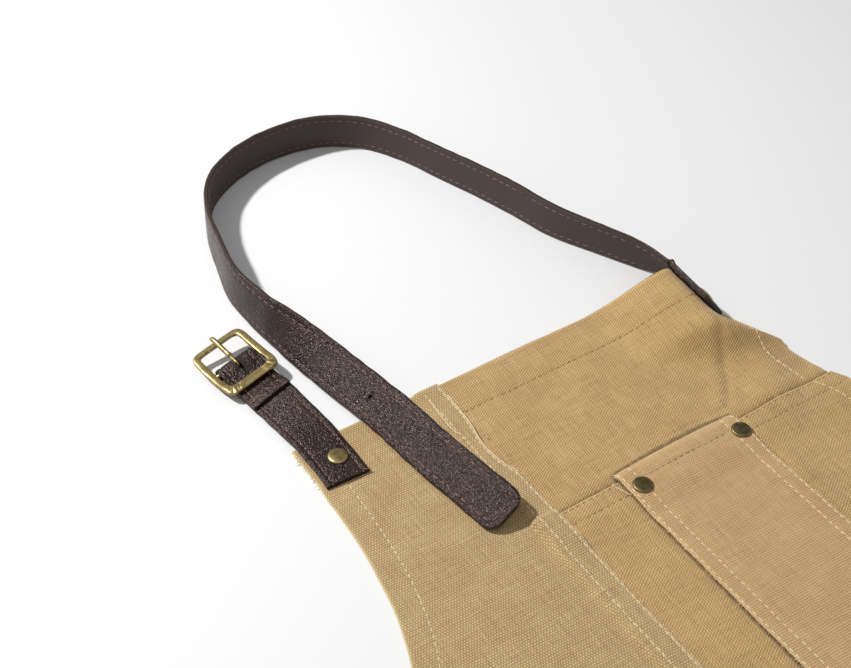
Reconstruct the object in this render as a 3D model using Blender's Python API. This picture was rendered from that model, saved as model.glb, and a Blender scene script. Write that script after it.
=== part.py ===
"""Cotton work apron with a leather neck strap, lying flat and face up.

+X runs across the apron to the right as seen, +Y up the apron towards the neck, +Z up.
The origin is on the floor, in the middle of the waist. Lengths are in metres.
"""
import math
from functools import lru_cache

import bmesh
import bpy
import numpy as np
from mathutils import Matrix, Vector

# Cloth and leather
CANVAS = 0.0012
STRAP_LEATHER = 0.0026
TAB_LEATHER = 0.0018
GAP = 0.0003

# Outline of the apron
BIB_HEIGHT = 0.270
BIB_TOP_WIDTH = 0.268
BIB_TAPER = 0.010
ARMHOLE_POWER = 4
APRON_WIDTH = 0.640
SKIRT_LENGTH = 0.530

# Panels: the side seam's distance left of the middle, and the yoke's depth
SIDE_SEAM = 0.045
YOKE_DEPTH = 0.1093
SEAM_LAP = 0.0125
STEP_RUN = 0.004

# Chest pocket
POCKET_WIDTH = 0.079
POCKET_DEPTH = 0.190
POCKET_MIDDLE = 0.0325
POCKET_ABOVE_SEAM = 0.005
POCKET_MOUTH = 0.0016
MOUTH_FADE = 0.060
POCKET_RIVET_INSET = 0.0073
POCKET_RIVET_BELOW_TOP = 0.0146

# The bib's right corner, lifted by the strap that stands on its edge
CORNER_MARGIN = 0.0235
CORNER_SLOPE_TOP = math.radians(60)
CORNER_SLOPE_LOW = math.radians(51)
CORNER_RUN = 0.058
CORNER_OPENING = 0.020
CORNER_PULL = 0.45
CORNER_DRAW = 0.005
RIDGE_ROUND = 0.0025

# Neck strap: its width, the loop that it forms beyond the bib, and its pin holes
STRAP_WIDTH = 0.025
STRAP_SEAT = 0.037
STRAP_FROM_EDGE = 0.0012
STRAP_END_REST = 0.004
STRAP_STANDS_OFF = 0.0010
LOOP_WIDTH = 0.208
LOOP_REACH = 0.233
STRAP_TIP_RADIUS = 0.007
STRAP_HOLE_RADIUS = 0.0013
STRAP_HOLES_FROM_TIP = (0.107, 0.315)

# Buckle: the frame's corner of reference is the middle of its centre bar
BUCKLE_INSET = 0.0037
BUCKLE_REACH = 0.069
BUCKLE_LIFT = 0.0060
BUCKLE_TURN = math.radians(10)
BUCKLE_TILT = math.radians(7)
BUCKLE_PITCH = math.radians(1)
FRAME_WIDTH = 0.0335
FRAME_TOE = 0.0193
FRAME_HEEL = 0.0189
TOE_BAR = 0.0031
HEEL_BAR = 0.0057
SIDE_BAR = 0.0036
FRAME_THICK = 0.0026
CENTRE_BAR_RADIUS = 0.0013
CENTRE_BAR_DROP = 0.0020
PRONG_RADIUS = 0.0010
PRONG_PLAY = 0.00035
PRONG_PAST_TOE = 0.0008
SLOT_PLAY = 0.0006
SLOT_LENGTH = 0.0095

# Buckle tab
TAB_WIDTH = 0.0245
TAB_FOLD_BACK = 0.034
TAB_RIVET_ASIDE = 0.0024

# Rivets
RIVET_CAP_RADIUS = 0.0053
RIVET_CAP_RISE = 0.0016
RIVET_SHANK_RADIUS = 0.0015
STRAP_RIVET_FROM_END = 0.009

# Waist ties
TIE_WIDTH = 0.025
TIE_LENGTH = 0.500
TIE_FROM_SIDE = 0.030
TIE_BELOW_WAIST = 0.010
TIE_RIVET_BELOW_END = 0.012

YOKE_SEAM = BIB_HEIGHT - YOKE_DEPTH
LAYER = CANVAS + GAP

# The strap's free stretch, from the bib's right corner round to its tip: where its lower edge
# stands, as shares of LOOP_WIDTH across and LOOP_REACH beyond the bib's top, and how far it
# leans from lying flat, in degrees.
STRAP_ROUTE = (
    # across, beyond, lean
    (0.534, 0.076, 75),
    (0.471, 0.190, 81),
    (0.410, 0.305, 87),
    (0.375, 0.432, 89),
    (0.336, 0.558, 88),
    (0.291, 0.682, 87),
    (0.246, 0.805, 86),
    (0.173, 0.916, 86),
    (0.054, 0.985, 87),
    (-0.089, 1.000, 87),
    (-0.232, 0.970, 89),
    (-0.357, 0.896, 89),
    (-0.432, 0.784, 88),
    (-0.476, 0.655, 84),
    (-0.510, 0.524, 79),
    (-0.508, 0.390, 71),
    (-0.501, 0.324, 61),
    (-0.495, 0.259, 49),
    (-0.474, 0.132, 30),
    (-0.443, -0.052, 23.5),
    (-0.429, -0.181, 27.5),
    (-0.408, -0.313, 30),
    (-0.387, -0.440, 25),
)

# How the tab lies from its end to the buckle: along as a share of BUCKLE_REACH from the bib's
# top, across as a share of TAB_WIDTH from the bib's corner, lift as a share of BUCKLE_LIFT, and
# how far its right side tilts up, in degrees.
TAB_ROUTE = (
    # along, across, lift, tilt
    (-0.486, 0.56, 0.42, 0),
    (-0.260, 0.58, 0.42, 0),
    (-0.116, 0.57, 0.44, 0.5),
    (0.043, 0.55, 0.55, 3),
    (0.230, 0.48, 0.62, 8),
    (0.400, 0.42, 0.72, 12),
    (0.540, 0.36, 0.78, 13),
)

# Low swells in the cloth: middle across as a share of half the bib's top and down as a share of
# the bib's height, half length and half width as shares of the bib's height, the length's turn
# from the apron's length in degrees, and lift as a share of the corner's margin.
CLOTH_SWELLS = (
    # across, down, length, width, turn, lift
    (0.80, 0.360, 0.17, 0.085, -32, 0.12),
    (0.42, 0.26, 0.22, 0.10, -24, 0.05),
)


def smooth(share):
    """Ease from 0 to 1 as share goes from 0 to 1."""
    share = np.clip(share, 0.0, 1.0)
    return share * share * (3.0 - 2.0 * share)


# How the cloth lies

def half_width(v):
    """Half the apron's width at v above the waist, on the flat cloth."""
    drop = min(max((BIB_HEIGHT - v) / BIB_HEIGHT, 0.0), 1.0)
    flare = (APRON_WIDTH - BIB_TOP_WIDTH) / 2 - BIB_TAPER
    return BIB_TOP_WIDTH / 2 + BIB_TAPER * drop + flare * drop**ARMHOLE_POWER


def corner_slope(v):
    """Slope of the corner's outer margin at v."""
    share = min(max((v - BIB_HEIGHT + STRAP_SEAT) / STRAP_SEAT, 0.0), 1.0)
    return CORNER_SLOPE_LOW + (CORNER_SLOPE_TOP - CORNER_SLOPE_LOW) * share


@lru_cache(maxsize=None)
def corner_profile(v):
    """Distance in from the right edge, x and height of the lifted corner along one row."""
    opened = BIB_HEIGHT - STRAP_SEAT - STRAP_END_REST - CORNER_OPENING
    share = smooth((v - opened) / CORNER_OPENING)
    turned = CORNER_MARGIN * share
    inward = np.linspace(0.0, CORNER_MARGIN + CORNER_RUN, 120)
    outer = inward * math.sin(corner_slope(v))
    inner = turned * math.sin(corner_slope(v)) * (1.0 - smooth((inward - turned) / CORNER_RUN))
    height = (outer + inner - np.sqrt((outer - inner) ** 2 + (share * RIDGE_ROUND) ** 2)) / 2
    height = np.maximum(height, 0.0)
    run = np.sqrt(np.maximum(np.diff(inward) ** 2 - np.diff(height) ** 2, 0.0))
    from_edge = np.concatenate(([0.0], np.cumsum(run)))
    draw = CORNER_DRAW * share * min(max((BIB_HEIGHT - v) / STRAP_SEAT, 0.0), 1.0)
    x = half_width(v) - inward[-1] + (from_edge[-1] - from_edge)
    return inward, x - draw * (1.0 - inward / inward[-1]), height


def swell(u, v):
    """Height of the low swells at a point of the flat cloth."""
    height = 0.0
    for across, down, length, width, turn, lift in CLOTH_SWELLS:
        du = u - across * BIB_TOP_WIDTH / 2
        dv = v - BIB_HEIGHT * (1.0 - down)
        angle = math.radians(turn)
        along = (dv * math.cos(angle) - du * math.sin(angle)) / (length * BIB_HEIGHT)
        aside = (du * math.cos(angle) + dv * math.sin(angle)) / (width * BIB_HEIGHT)
        reach = min(math.hypot(along, aside), 1.0)
        height += lift * CORNER_MARGIN * math.cos(reach * math.pi / 2) ** 2
    return height


def lie(u, v):
    """Where a point of the flat cloth lies in space."""
    inward, x, height = corner_profile(round(v, 6))
    from_edge = half_width(v) - u
    lift = 0.0
    if from_edge < inward[-1]:
        lift = float(np.interp(from_edge, inward, height))
        u = float(np.interp(from_edge, inward, x))
    return Vector((u, v - CORNER_PULL * lift, lift + swell(u, v)))


def lie_normal(u, v):
    """The cloth's upward normal at a point."""
    step = 0.0008
    right = min(u + step, half_width(v))
    across = lie(right, v) - lie(right - 2 * step, v)
    along = lie(u, v + step) - lie(u, v - step)
    return across.cross(along).normalized()


def drape(u, v, h):
    """A point at height h in the stack of layers, over a point of the flat cloth."""
    return lie(u, v) + lie_normal(u, v) * h


# How the layers are stacked

def over_lap(v):
    """1 over the yoke seam's lap, easing to 0 on both sides of it."""
    below = smooth((v - YOKE_SEAM + SEAM_LAP + STEP_RUN + GAP) / STEP_RUN)
    above = smooth((YOKE_SEAM + STEP_RUN + GAP - v) / STEP_RUN)
    return float(min(below, above))


def front_under(u, v):
    """The front panel's underside: on the floor, and over the yoke at the lap."""
    return LAYER * over_lap(v)


def over_front(v):
    """Height of whatever lies on the yoke and the front panel."""
    return LAYER * (1.0 + over_lap(v))


def side_under(u, v):
    """The side panel's underside: on the floor, and over the other panels at its lap."""
    rise = smooth((u + SIDE_SEAM + SEAM_LAP + STEP_RUN + GAP) / STEP_RUN)
    return over_front(v) * float(rise)


def pocket_under(u, v):
    """The pocket's underside: its mouth stands a little open."""
    share = (u - POCKET_MIDDLE) / POCKET_WIDTH + 0.5
    top = YOKE_SEAM + POCKET_ABOVE_SEAM
    mouth = POCKET_MOUTH * math.sin(math.pi * min(max(share, 0.0), 1.0))
    return over_front(v) + mouth * float(1.0 - smooth((top - v) / MOUTH_FADE))


# Building blocks

def new_material(name, colour, roughness, metallic=0.0):
    material = bpy.data.materials.new(name)
    material.use_nodes = True
    shader = material.node_tree.nodes["Principled BSDF"]
    shader.inputs["Base Color"].default_value = (*colour, 1.0)
    shader.inputs["Roughness"].default_value = roughness
    shader.inputs["Metallic"].default_value = metallic
    return material


def new_object(name, points, faces, material, smooth_angle=None, place=None):
    """A closed mesh object with its faces pointing out."""
    mesh = bpy.data.meshes.new(name)
    mesh.from_pydata([tuple(point) for point in points], [], faces)
    shape = bmesh.new()
    shape.from_mesh(mesh)
    bmesh.ops.recalc_face_normals(shape, faces=shape.faces)
    shape.to_mesh(mesh)
    shape.free()
    mesh.materials.append(material)
    if smooth_angle is not None:
        mesh.shade_smooth()
        mesh.set_sharp_from_angle(angle=smooth_angle)
    item = bpy.data.objects.new(name, mesh)
    bpy.context.scene.collection.objects.link(item)
    if place is not None:
        item.matrix_world = place
    return item


def as_cutter(item):
    """Keep an object as a hidden guide for Boolean modifiers."""
    item.hide_render = True
    item.display_type = "WIRE"
    return item


def apply_boolean(item, other, operation):
    modifier = item.modifiers.new(operation.lower(), "BOOLEAN")
    modifier.operation = operation
    modifier.object = other


def sheet(name, rows, under, thick, material):
    """A cloth wall. Each row is v and its u values, and under gives the underside's height."""
    columns = len(rows[0][1])
    points = []
    for raise_by in (0.0, thick):
        for v, us in rows:
            points += [drape(u, v, under(u, v) + raise_by) for u in us]
    top = len(rows) * columns
    faces = []
    for row in range(len(rows) - 1):
        for column in range(columns - 1):
            a = row * columns + column
            b = a + columns
            faces.append((a, b, b + 1, a + 1))
            faces.append((top + a, top + a + 1, top + b + 1, top + b))
    rim = [column for column in range(columns)]
    rim += [row * columns + columns - 1 for row in range(1, len(rows))]
    rim += [(len(rows) - 1) * columns + column for column in range(columns - 2, -1, -1)]
    rim += [row * columns for row in range(len(rows) - 2, 0, -1)]
    for a, b in zip(rim, rim[1:] + rim[:1]):
        faces.append((a, b, top + b, top + a))
    return new_object(name, points, faces, material, math.radians(40))


def loft(name, rings, material, smooth_angle, place=None, closed=False):
    """A solid through rings of points, capped at both ends unless it closes on itself."""
    count = len(rings[0])
    points = [point for ring in rings for point in ring]
    faces = []
    last = len(rings) if closed else len(rings) - 1
    for row in range(last):
        a = row * count
        b = (row + 1) % len(rings) * count
        for side in range(count):
            step = (side + 1) % count
            faces.append((a + side, a + step, b + step, b + side))
    if not closed:
        faces.append(tuple(range(count)))
        faces.append(tuple(range(len(points) - count, len(points))))
    return new_object(name, points, faces, material, smooth_angle, place)


def band_ring(centre, across, normal, half, thick):
    """The outline of a flat band's section, with its edges bevelled."""
    bevel = thick / 4
    corners = ((half, thick / 2 - bevel), (half - bevel, thick / 2))
    outline = [*corners]
    outline += [(-x, y) for x, y in reversed(corners)]
    outline += [(-x, -y) for x, y in corners]
    outline += [(x, -y) for x, y in reversed(corners)]
    return [centre + across * x + normal * y for x, y in outline]


def turned(name, profile, sides, material, place):
    """A solid of revolution about its own Z axis, from (radius, height) pairs."""
    rings = []
    for radius, height in profile:
        angles = [2 * math.pi * side / sides for side in range(sides)]
        rings.append([Vector((radius * math.cos(a), radius * math.sin(a), height)) for a in angles])
    return loft(name, rings, material, math.radians(35), place)


def facing(point, normal):
    """A placement at a point, with its Z axis along a direction."""
    turn = Vector(normal).to_track_quat("Z", "Y").to_matrix().to_4x4()
    return Matrix.Translation(point) @ turn


def rivet(name, seat, normal, depth, layers, material):
    """A cap rivet on a seat, with its shank through the layers under it."""
    cap = RIVET_CAP_RADIUS
    rise = RIVET_CAP_RISE
    profile = (
        (RIVET_SHANK_RADIUS, -depth),
        (RIVET_SHANK_RADIUS, GAP),
        (cap * 0.96, GAP),
        (cap, GAP + rise * 0.25),
        (cap * 0.95, GAP + rise * 0.55),
        (cap * 0.62, GAP + rise * 0.92),
        (cap * 0.20, GAP + rise),
    )
    place = facing(seat, normal)
    turned(name, profile, 20, material, place)
    hole = ((RIVET_SHANK_RADIUS + GAP, -3 * depth), (RIVET_SHANK_RADIUS + GAP, 2 * rise))
    cutter = as_cutter(turned(name + "_hole", hole, 12, material, place))
    for layer in layers:
        apply_boolean(layer, cutter, "DIFFERENCE")


def cloth_rivet(name, u, v, height, layers, material):
    """A rivet on the cloth, at a height in the stack of layers."""
    rivet(name, drape(u, v, height), lie_normal(u, v), height - GAP, layers, material)


def curve_through(rows, steps):
    """A smooth curve through rows of numbers, with so many steps between two rows."""
    rows = np.array(rows, dtype=float)
    padded = np.vstack([2 * rows[0] - rows[1], rows, 2 * rows[-1] - rows[-2]])
    points = []
    for i in range(len(rows) - 1):
        p0, p1, p2, p3 = padded[i : i + 4]
        for step in range(steps):
            t = step / steps
            points.append(
                p1
                + (p2 - p0) * t / 2
                + (2 * p0 - 5 * p1 + 4 * p2 - p3) * t**2 / 2
                + (3 * p1 - p0 - 3 * p2 + p3) * t**3 / 2
            )
    points.append(rows[-1])
    return np.array(points)


def lengths_along(points):
    """Distance along a line of points, for each of them."""
    steps = np.linalg.norm(np.diff(points, axis=0), axis=1)
    return np.concatenate(([0.0], np.cumsum(steps)))


def frames_along(centres, widths):
    """Unit directions across and normal to a band, for each of its centres."""
    tangents = np.gradient(centres, axis=0)
    across = []
    normals = []
    for tangent, width in zip(tangents, widths):
        tangent = Vector(tangent).normalized()
        width = Vector(width)
        width = (width - tangent * width.dot(tangent)).normalized()
        across.append(width)
        normals.append(tangent.cross(width))
    return across, normals


# The pieces

def spaced(top, bottom, steps):
    """Values of v down an edge, evenly spaced from top to bottom."""
    return [top + (bottom - top) * step / steps for step in range(steps + 1)]


def lap_rows():
    """Values of v where the layers step up over the yoke seam."""
    return [
        YOKE_SEAM,
        YOKE_SEAM - SEAM_LAP / 2,
        YOKE_SEAM - SEAM_LAP - GAP,
        YOKE_SEAM - SEAM_LAP - GAP - STEP_RUN / 2,
        YOKE_SEAM - SEAM_LAP - GAP - STEP_RUN,
    ]


def right_columns(v):
    """Values of u across a row, closer together where the right corner is lifted."""
    left = -SIDE_SEAM - SEAM_LAP
    edge = half_width(v)
    fine_reach = CORNER_MARGIN + CORNER_RUN
    start = edge - fine_reach
    us = [left + (start - left) * step / 4 for step in range(4)]
    return us + [start + fine_reach * step / 18 for step in range(19)]


def make_yoke(material):
    rows = []
    for v in spaced(BIB_HEIGHT, YOKE_SEAM - SEAM_LAP, 20):
        rows.append((v, right_columns(v)))
    return sheet("yoke_panel", rows, lambda u, v: 0.0, CANVAS, material)


def make_front(material):
    rows = []
    armhole = spaced(lap_rows()[-1], 0.0, 13)
    for v in lap_rows() + armhole[1:] + [-SKIRT_LENGTH / 2, -SKIRT_LENGTH]:
        rows.append((v, right_columns(v)))
    return sheet("front_panel", rows, front_under, CANVAS, material)


def make_side(material):
    right = -SIDE_SEAM
    lap = right - SEAM_LAP - GAP
    rows = []
    above_lap = [BIB_HEIGHT, BIB_HEIGHT - YOKE_DEPTH / 2]
    above_lap += [YOKE_SEAM + GAP + STEP_RUN, YOKE_SEAM + GAP + STEP_RUN / 2, YOKE_SEAM + GAP]
    armhole = spaced(lap_rows()[-1], 0.0, 14)
    for v in above_lap + lap_rows()[1:] + armhole[1:] + [-SKIRT_LENGTH / 2, -SKIRT_LENGTH]:
        edge = -half_width(v)
        foot = lap - STEP_RUN
        us = [edge, edge + (foot - edge) / 2, foot, foot + STEP_RUN / 2, lap]
        rows.append((v, us + [(lap + right) / 2, right]))
    return sheet("side_panel", rows, side_under, CANVAS, material)


def make_pocket(material):
    left = POCKET_MIDDLE - POCKET_WIDTH / 2
    columns = [left + POCKET_WIDTH * step / 10 for step in range(11)]
    top = YOKE_SEAM + POCKET_ABOVE_SEAM
    rows = []
    lower = spaced(lap_rows()[-1], top - POCKET_DEPTH, 8)
    for v in [top, YOKE_SEAM + GAP + STEP_RUN / 2] + lap_rows() + lower[1:]:
        rows.append((v, columns))
    return sheet("chest_pocket", rows, pocket_under, CANVAS, material)


def floor_under_strap(beyond):
    """Height of what the strap's lower edge stands on: the cloth, or the floor past the bib."""
    return LAYER * float(1.0 - smooth((beyond + STEP_RUN) / (4 * STEP_RUN)))


def strap_seat_rows():
    """Centres and width directions of the strap's stretch on the bib's right corner."""
    rows = []
    for step in range(7):
        v = BIB_HEIGHT - STRAP_SEAT + (STRAP_SEAT + CANVAS) * step / 6
        middle = half_width(v) - STRAP_WIDTH / 2
        low = lie(half_width(v) - CORNER_MARGIN * 0.2, v)
        high = lie(half_width(v) - CORNER_MARGIN * 0.5, v)
        width = (high - low).normalized()
        along = lie(middle, v + CANVAS) - lie(middle, v - CANVAS)
        normal = along.cross(width).normalized()
        centre = low + width * (STRAP_FROM_EDGE + STRAP_WIDTH / 2 - CORNER_MARGIN * 0.2)
        centre = centre + normal * (CANVAS + STRAP_STANDS_OFF + STRAP_LEATHER / 2)
        rows.append((*centre, *width))
    return rows


def strap_free_rows():
    """Centres and width directions of the strap's free stretch."""
    feet = [(across * LOOP_WIDTH, beyond * LOOP_REACH) for across, beyond, _ in STRAP_ROUTE]
    headings = np.gradient(np.array(feet), axis=0)
    rows = []
    for (x, beyond), heading, (_, _, lean) in zip(feet, headings, STRAP_ROUTE):
        inward = Vector((-heading[1], heading[0], 0.0)).normalized()
        lean = math.radians(lean)
        width = inward * math.cos(lean) + Vector((0.0, 0.0, math.sin(lean)))
        lift = floor_under_strap(beyond) + GAP + STRAP_LEATHER / 2 * math.cos(lean)
        centre = Vector((x, BIB_HEIGHT + beyond, lift)) + width * STRAP_WIDTH / 2
        rows.append((*centre, *width))
    return rows


def tip_half_width(from_tip):
    """Half the strap's width near its rounded tip."""
    radius = STRAP_TIP_RADIUS
    inside = max(radius - from_tip, 0.0)
    return STRAP_WIDTH / 2 - radius + math.sqrt(radius**2 - inside**2)


def make_strap(material):
    seat = strap_seat_rows()
    free = curve_through([seat[-2], seat[-1], *strap_free_rows()], 3)
    rows = np.vstack([seat[:-2], free])
    centres = rows[:, :3]
    widths = rows[:, 3:]
    from_tip = lengths_along(centres)[-1] - lengths_along(centres)
    tip_steps = [STRAP_TIP_RADIUS * share for share in (0.6, 0.32, 0.14, 0.03, 0.0)]
    stations = [d for d in from_tip if d > STRAP_TIP_RADIUS] + [STRAP_TIP_RADIUS, *tip_steps]
    columns = [np.interp(stations, from_tip[::-1], rows[::-1, k]) for k in range(6)]
    across, normals = frames_along(centres, widths)
    axes = np.array([[*a, *n] for a, n in zip(across, normals)])
    directions = [np.interp(stations, from_tip[::-1], axes[::-1, k]) for k in range(6)]
    rings = []
    for i, d in enumerate(stations):
        centre = Vector([column[i] for column in columns[:3]])
        width = Vector([column[i] for column in directions[:3]]).normalized()
        normal = Vector([column[i] for column in directions[3:]]).normalized()
        rings.append(band_ring(centre, width, normal, tip_half_width(d), STRAP_LEATHER))
    strap = loft("neck_strap", rings, material, math.radians(40))
    for number, d in enumerate(STRAP_HOLES_FROM_TIP, 1):
        at = Vector([np.interp(d, from_tip[::-1], centres[::-1, k]) for k in range(3)])
        normal = Vector([np.interp(d, from_tip[::-1], axes[::-1, k + 3]) for k in range(3)])
        profile = ((STRAP_HOLE_RADIUS, -2 * STRAP_LEATHER), (STRAP_HOLE_RADIUS, 2 * STRAP_LEATHER))
        cutter = turned(f"strap_pin_hole_{number}", profile, 10, material, facing(at, normal))
        apply_boolean(strap, as_cutter(cutter), "DIFFERENCE")
    return strap


def make_strap_rivet(strap, yoke, material):
    seat = strap_seat_rows()
    first = Vector(seat[0][:3])
    along = (Vector(seat[1][:3]) - first).normalized()
    width = Vector(seat[0][3:])
    # The strap runs away from its riveted end, so this normal points away from the cloth.
    normal = along.cross(width).normalized()
    at = first + along * STRAP_RIVET_FROM_END + normal * STRAP_LEATHER / 2
    depth = STRAP_LEATHER + STRAP_STANDS_OFF + CANVAS
    rivet("strap_rivet", at, normal, depth, (strap, yoke), material)


def buckle_place():
    """Where the buckle's centre bar is: its X axis along the bar, its Y axis to the toe."""
    x = -BIB_TOP_WIDTH / 2 + BUCKLE_INSET
    at = Matrix.Translation((x, BIB_HEIGHT + BUCKLE_REACH, BUCKLE_LIFT))
    turn = Matrix.Rotation(BUCKLE_TURN, 4, "Z")
    tilt = Matrix.Rotation(-BUCKLE_TILT, 4, "Y")
    return at @ turn @ tilt @ Matrix.Rotation(BUCKLE_PITCH, 4, "X")


def frame_arch(y):
    """How far the frame's side bars rise from the centre bar towards toe and heel."""
    return CENTRE_BAR_DROP * float(smooth(abs(y) / (FRAME_HEEL - HEEL_BAR)))


def rounded(angle, half_x, low_y, high_y, squareness):
    """A point of a rounded four-sided loop."""
    cos = math.cos(angle)
    sin = math.sin(angle)
    x = half_x * math.copysign(abs(cos) ** (2 / squareness), cos)
    middle = (low_y + high_y) / 2
    y = middle + (high_y - low_y) / 2 * math.copysign(abs(sin) ** (2 / squareness), sin)
    return x, y


def make_frame(material):
    place = buckle_place()
    section = (
        # share from inner to outer loop, height as a share of the thickness
        (0.0, -0.25),
        (0.0, 0.2),
        (0.28, 0.5),
        (0.72, 0.5),
        (1.0, 0.2),
        (1.0, -0.25),
        (0.75, -0.5),
        (0.25, -0.5),
    )
    rings = []
    for step in range(56):
        angle = 2 * math.pi * (step + 0.5) / 56
        outer = rounded(angle, FRAME_WIDTH / 2, -FRAME_HEEL, FRAME_TOE, 5.5)
        inner_half = FRAME_WIDTH / 2 - SIDE_BAR
        inner = rounded(angle, inner_half, -FRAME_HEEL + HEEL_BAR, FRAME_TOE - TOE_BAR, 7.0)
        ring = []
        for share, height in section:
            x = inner[0] + (outer[0] - inner[0]) * share
            y = inner[1] + (outer[1] - inner[1]) * share
            ring.append(Vector((x, y, frame_arch(y) + height * FRAME_THICK)))
        rings.append(ring)
    frame = loft("buckle_frame", rings, material, math.radians(50), place, closed=True)
    reach = (FRAME_WIDTH - SIDE_BAR) / 2
    bar = turned(
        "centre_bar",
        ((CENTRE_BAR_RADIUS, -reach), (CENTRE_BAR_RADIUS, reach)),
        16,
        material,
        place @ Matrix.Rotation(math.pi / 2, 4, "Y"),
    )
    apply_boolean(frame, as_cutter(bar), "UNION")
    return frame


def make_prong(material):
    loop = CENTRE_BAR_RADIUS + PRONG_PLAY + PRONG_RADIUS
    over_toe = CENTRE_BAR_DROP + FRAME_THICK / 2 + GAP + PRONG_RADIUS
    toe_middle = FRAME_TOE - TOE_BAR / 2
    path = []
    for step in range(13):
        angle = math.radians(-35 - 235 * step / 12)
        path.append((loop * math.cos(angle), loop * math.sin(angle), 1.0))
    # The shank leaves the loop's top and runs on over the toe bar, where its tip turns down.
    shank = (
        # share of the way to the toe bar, share of the rise, thickness share
        (0.22, 0.20, 1.05),
        (0.45, 0.58, 1.0),
        (0.75, 0.92, 0.95),
        (1.0, 1.0, 0.95),
    )
    for way, rise, thick in shank:
        path.append((toe_middle * way, loop + (over_toe - loop) * rise, thick))
    path.append((FRAME_TOE + PRONG_PAST_TOE, over_toe - PRONG_RADIUS * 0.35, 0.8))
    centres = np.array([(0.0, y, z) for y, z, _ in path])
    across, normals = frames_along(centres, [(1.0, 0.0, 0.0)] * len(path))
    rings = []
    for centre, x_axis, normal, (_, _, thick) in zip(centres, across, normals, path):
        ring = []
        for side in range(8):
            angle = 2 * math.pi * (side + 0.5) / 8
            offset = x_axis * math.cos(angle) + normal * math.sin(angle)
            ring.append(Vector(centre) + offset * PRONG_RADIUS * thick)
        rings.append(ring)
    return loft("buckle_prong", rings, material, math.radians(50), buckle_place())


def tab_lower_rows():
    """The tab's lower run, from its end on the bib to just under the centre bar."""
    rows = []
    for along, across, lift, tilt in TAB_ROUTE:
        tilt = math.radians(tilt)
        x = -BIB_TOP_WIDTH / 2 + across * TAB_WIDTH
        centre = (x, BIB_HEIGHT + along * BUCKLE_REACH, lift * BUCKLE_LIFT)
        turn = BUCKLE_TURN * float(smooth(0.5 + along))
        width = (
            math.cos(tilt) * math.cos(turn),
            math.cos(tilt) * math.sin(turn),
            math.sin(tilt),
        )
        rows.append((*centre, *width))
    place = buckle_place()
    fold = CENTRE_BAR_RADIUS + GAP + TAB_LEATHER / 2
    bar_axis = place.to_3x3() @ Vector((1.0, 0.0, 0.0))
    for y, sink in ((-1.16 * FRAME_HEEL, GAP), (-0.8 * FRAME_HEEL, GAP), (-0.3 * FRAME_HEEL, 0.0)):
        rows.append((*(place @ Vector((0.0, y, -fold - sink))), *bar_axis))
    rows.append((*(place @ Vector((0.0, 0.0, -fold))), *bar_axis))
    return curve_through(rows, 3)


def make_tab(material):
    lower = tab_lower_rows()
    place = buckle_place()
    fold = CENTRE_BAR_RADIUS + GAP + TAB_LEATHER / 2
    bar_axis = place.to_3x3() @ Vector((1.0, 0.0, 0.0))
    rows = [tuple(row) for row in lower]
    for step in range(1, 12):
        angle = -math.pi / 2 + math.pi * step / 12
        point = place @ Vector((0.0, fold * math.cos(angle), fold * math.sin(angle)))
        rows.append((*point, *bar_axis))
    # The fold-back lies on the lower run: its height over it falls from the fold's to one layer.
    _, normals = frames_along(lower[:, :3], lower[:, 3:])
    back = lengths_along(lower[::-1, :3])
    for i, run in enumerate(back):
        if run <= TAB_FOLD_BACK:
            settle = float(smooth(run / (FRAME_HEEL - HEEL_BAR)))
            layer = TAB_LEATHER + GAP
            rise = 2 * fold + (layer - 2 * fold) * settle
            up = normals[-1 - i] * -1.0
            point = Vector(lower[-1 - i, :3]) + up * rise
            rows.append((*point, *lower[-1 - i, 3:]))
    rows = np.array(rows)
    across, normals = frames_along(rows[:, :3], rows[:, 3:])
    rings = []
    for row, width, normal in zip(rows, across, normals):
        rings.append(band_ring(Vector(row[:3]), width, normal, TAB_WIDTH / 2, TAB_LEATHER))
    tab = loft("buckle_tab", rings, material, math.radians(40))
    slot_half = PRONG_RADIUS + SLOT_PLAY
    deep = 3 * fold
    corners = []
    for x in (-slot_half, slot_half):
        for y in (-SLOT_LENGTH, deep):
            corners += [Vector((x, y, -deep)), Vector((x, y, deep))]
    faces = [(0, 1, 3, 2), (4, 6, 7, 5), (0, 4, 5, 1), (2, 3, 7, 6), (0, 2, 6, 4), (1, 5, 7, 3)]
    slot = as_cutter(new_object("tab_slot", corners, faces, material, None, place))
    apply_boolean(tab, slot, "DIFFERENCE")
    return tab


def make_tab_rivet(tab, side, material):
    along, across, lift, _ = TAB_ROUTE[1]
    x = -BIB_TOP_WIDTH / 2 + across * TAB_WIDTH + TAB_RIVET_ASIDE
    top = lift * BUCKLE_LIFT + TAB_LEATHER / 2
    at = Vector((x, BIB_HEIGHT + along * BUCKLE_REACH, top))
    rivet("tab_rivet", at, Vector((0.0, 0.0, 1.0)), top - GAP, (tab, side), material)


def make_ties(side, front, cloth, metal):
    for name, sign, panel in (("left", -1, side), ("right", 1, front)):
        middle = sign * (APRON_WIDTH / 2 - TIE_FROM_SIDE)
        us = [middle - TIE_WIDTH / 2, middle + TIE_WIDTH / 2]
        rows = [(v, us) for v in (-TIE_BELOW_WAIST, -TIE_BELOW_WAIST - TIE_LENGTH)]
        tie = sheet(f"waist_tie_{name}", rows, lambda u, v: LAYER, CANVAS, cloth)
        v = -TIE_BELOW_WAIST - TIE_RIVET_BELOW_END
        cloth_rivet(f"waist_rivet_{name}", middle, v, LAYER + CANVAS, (tie, panel), metal)


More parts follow.
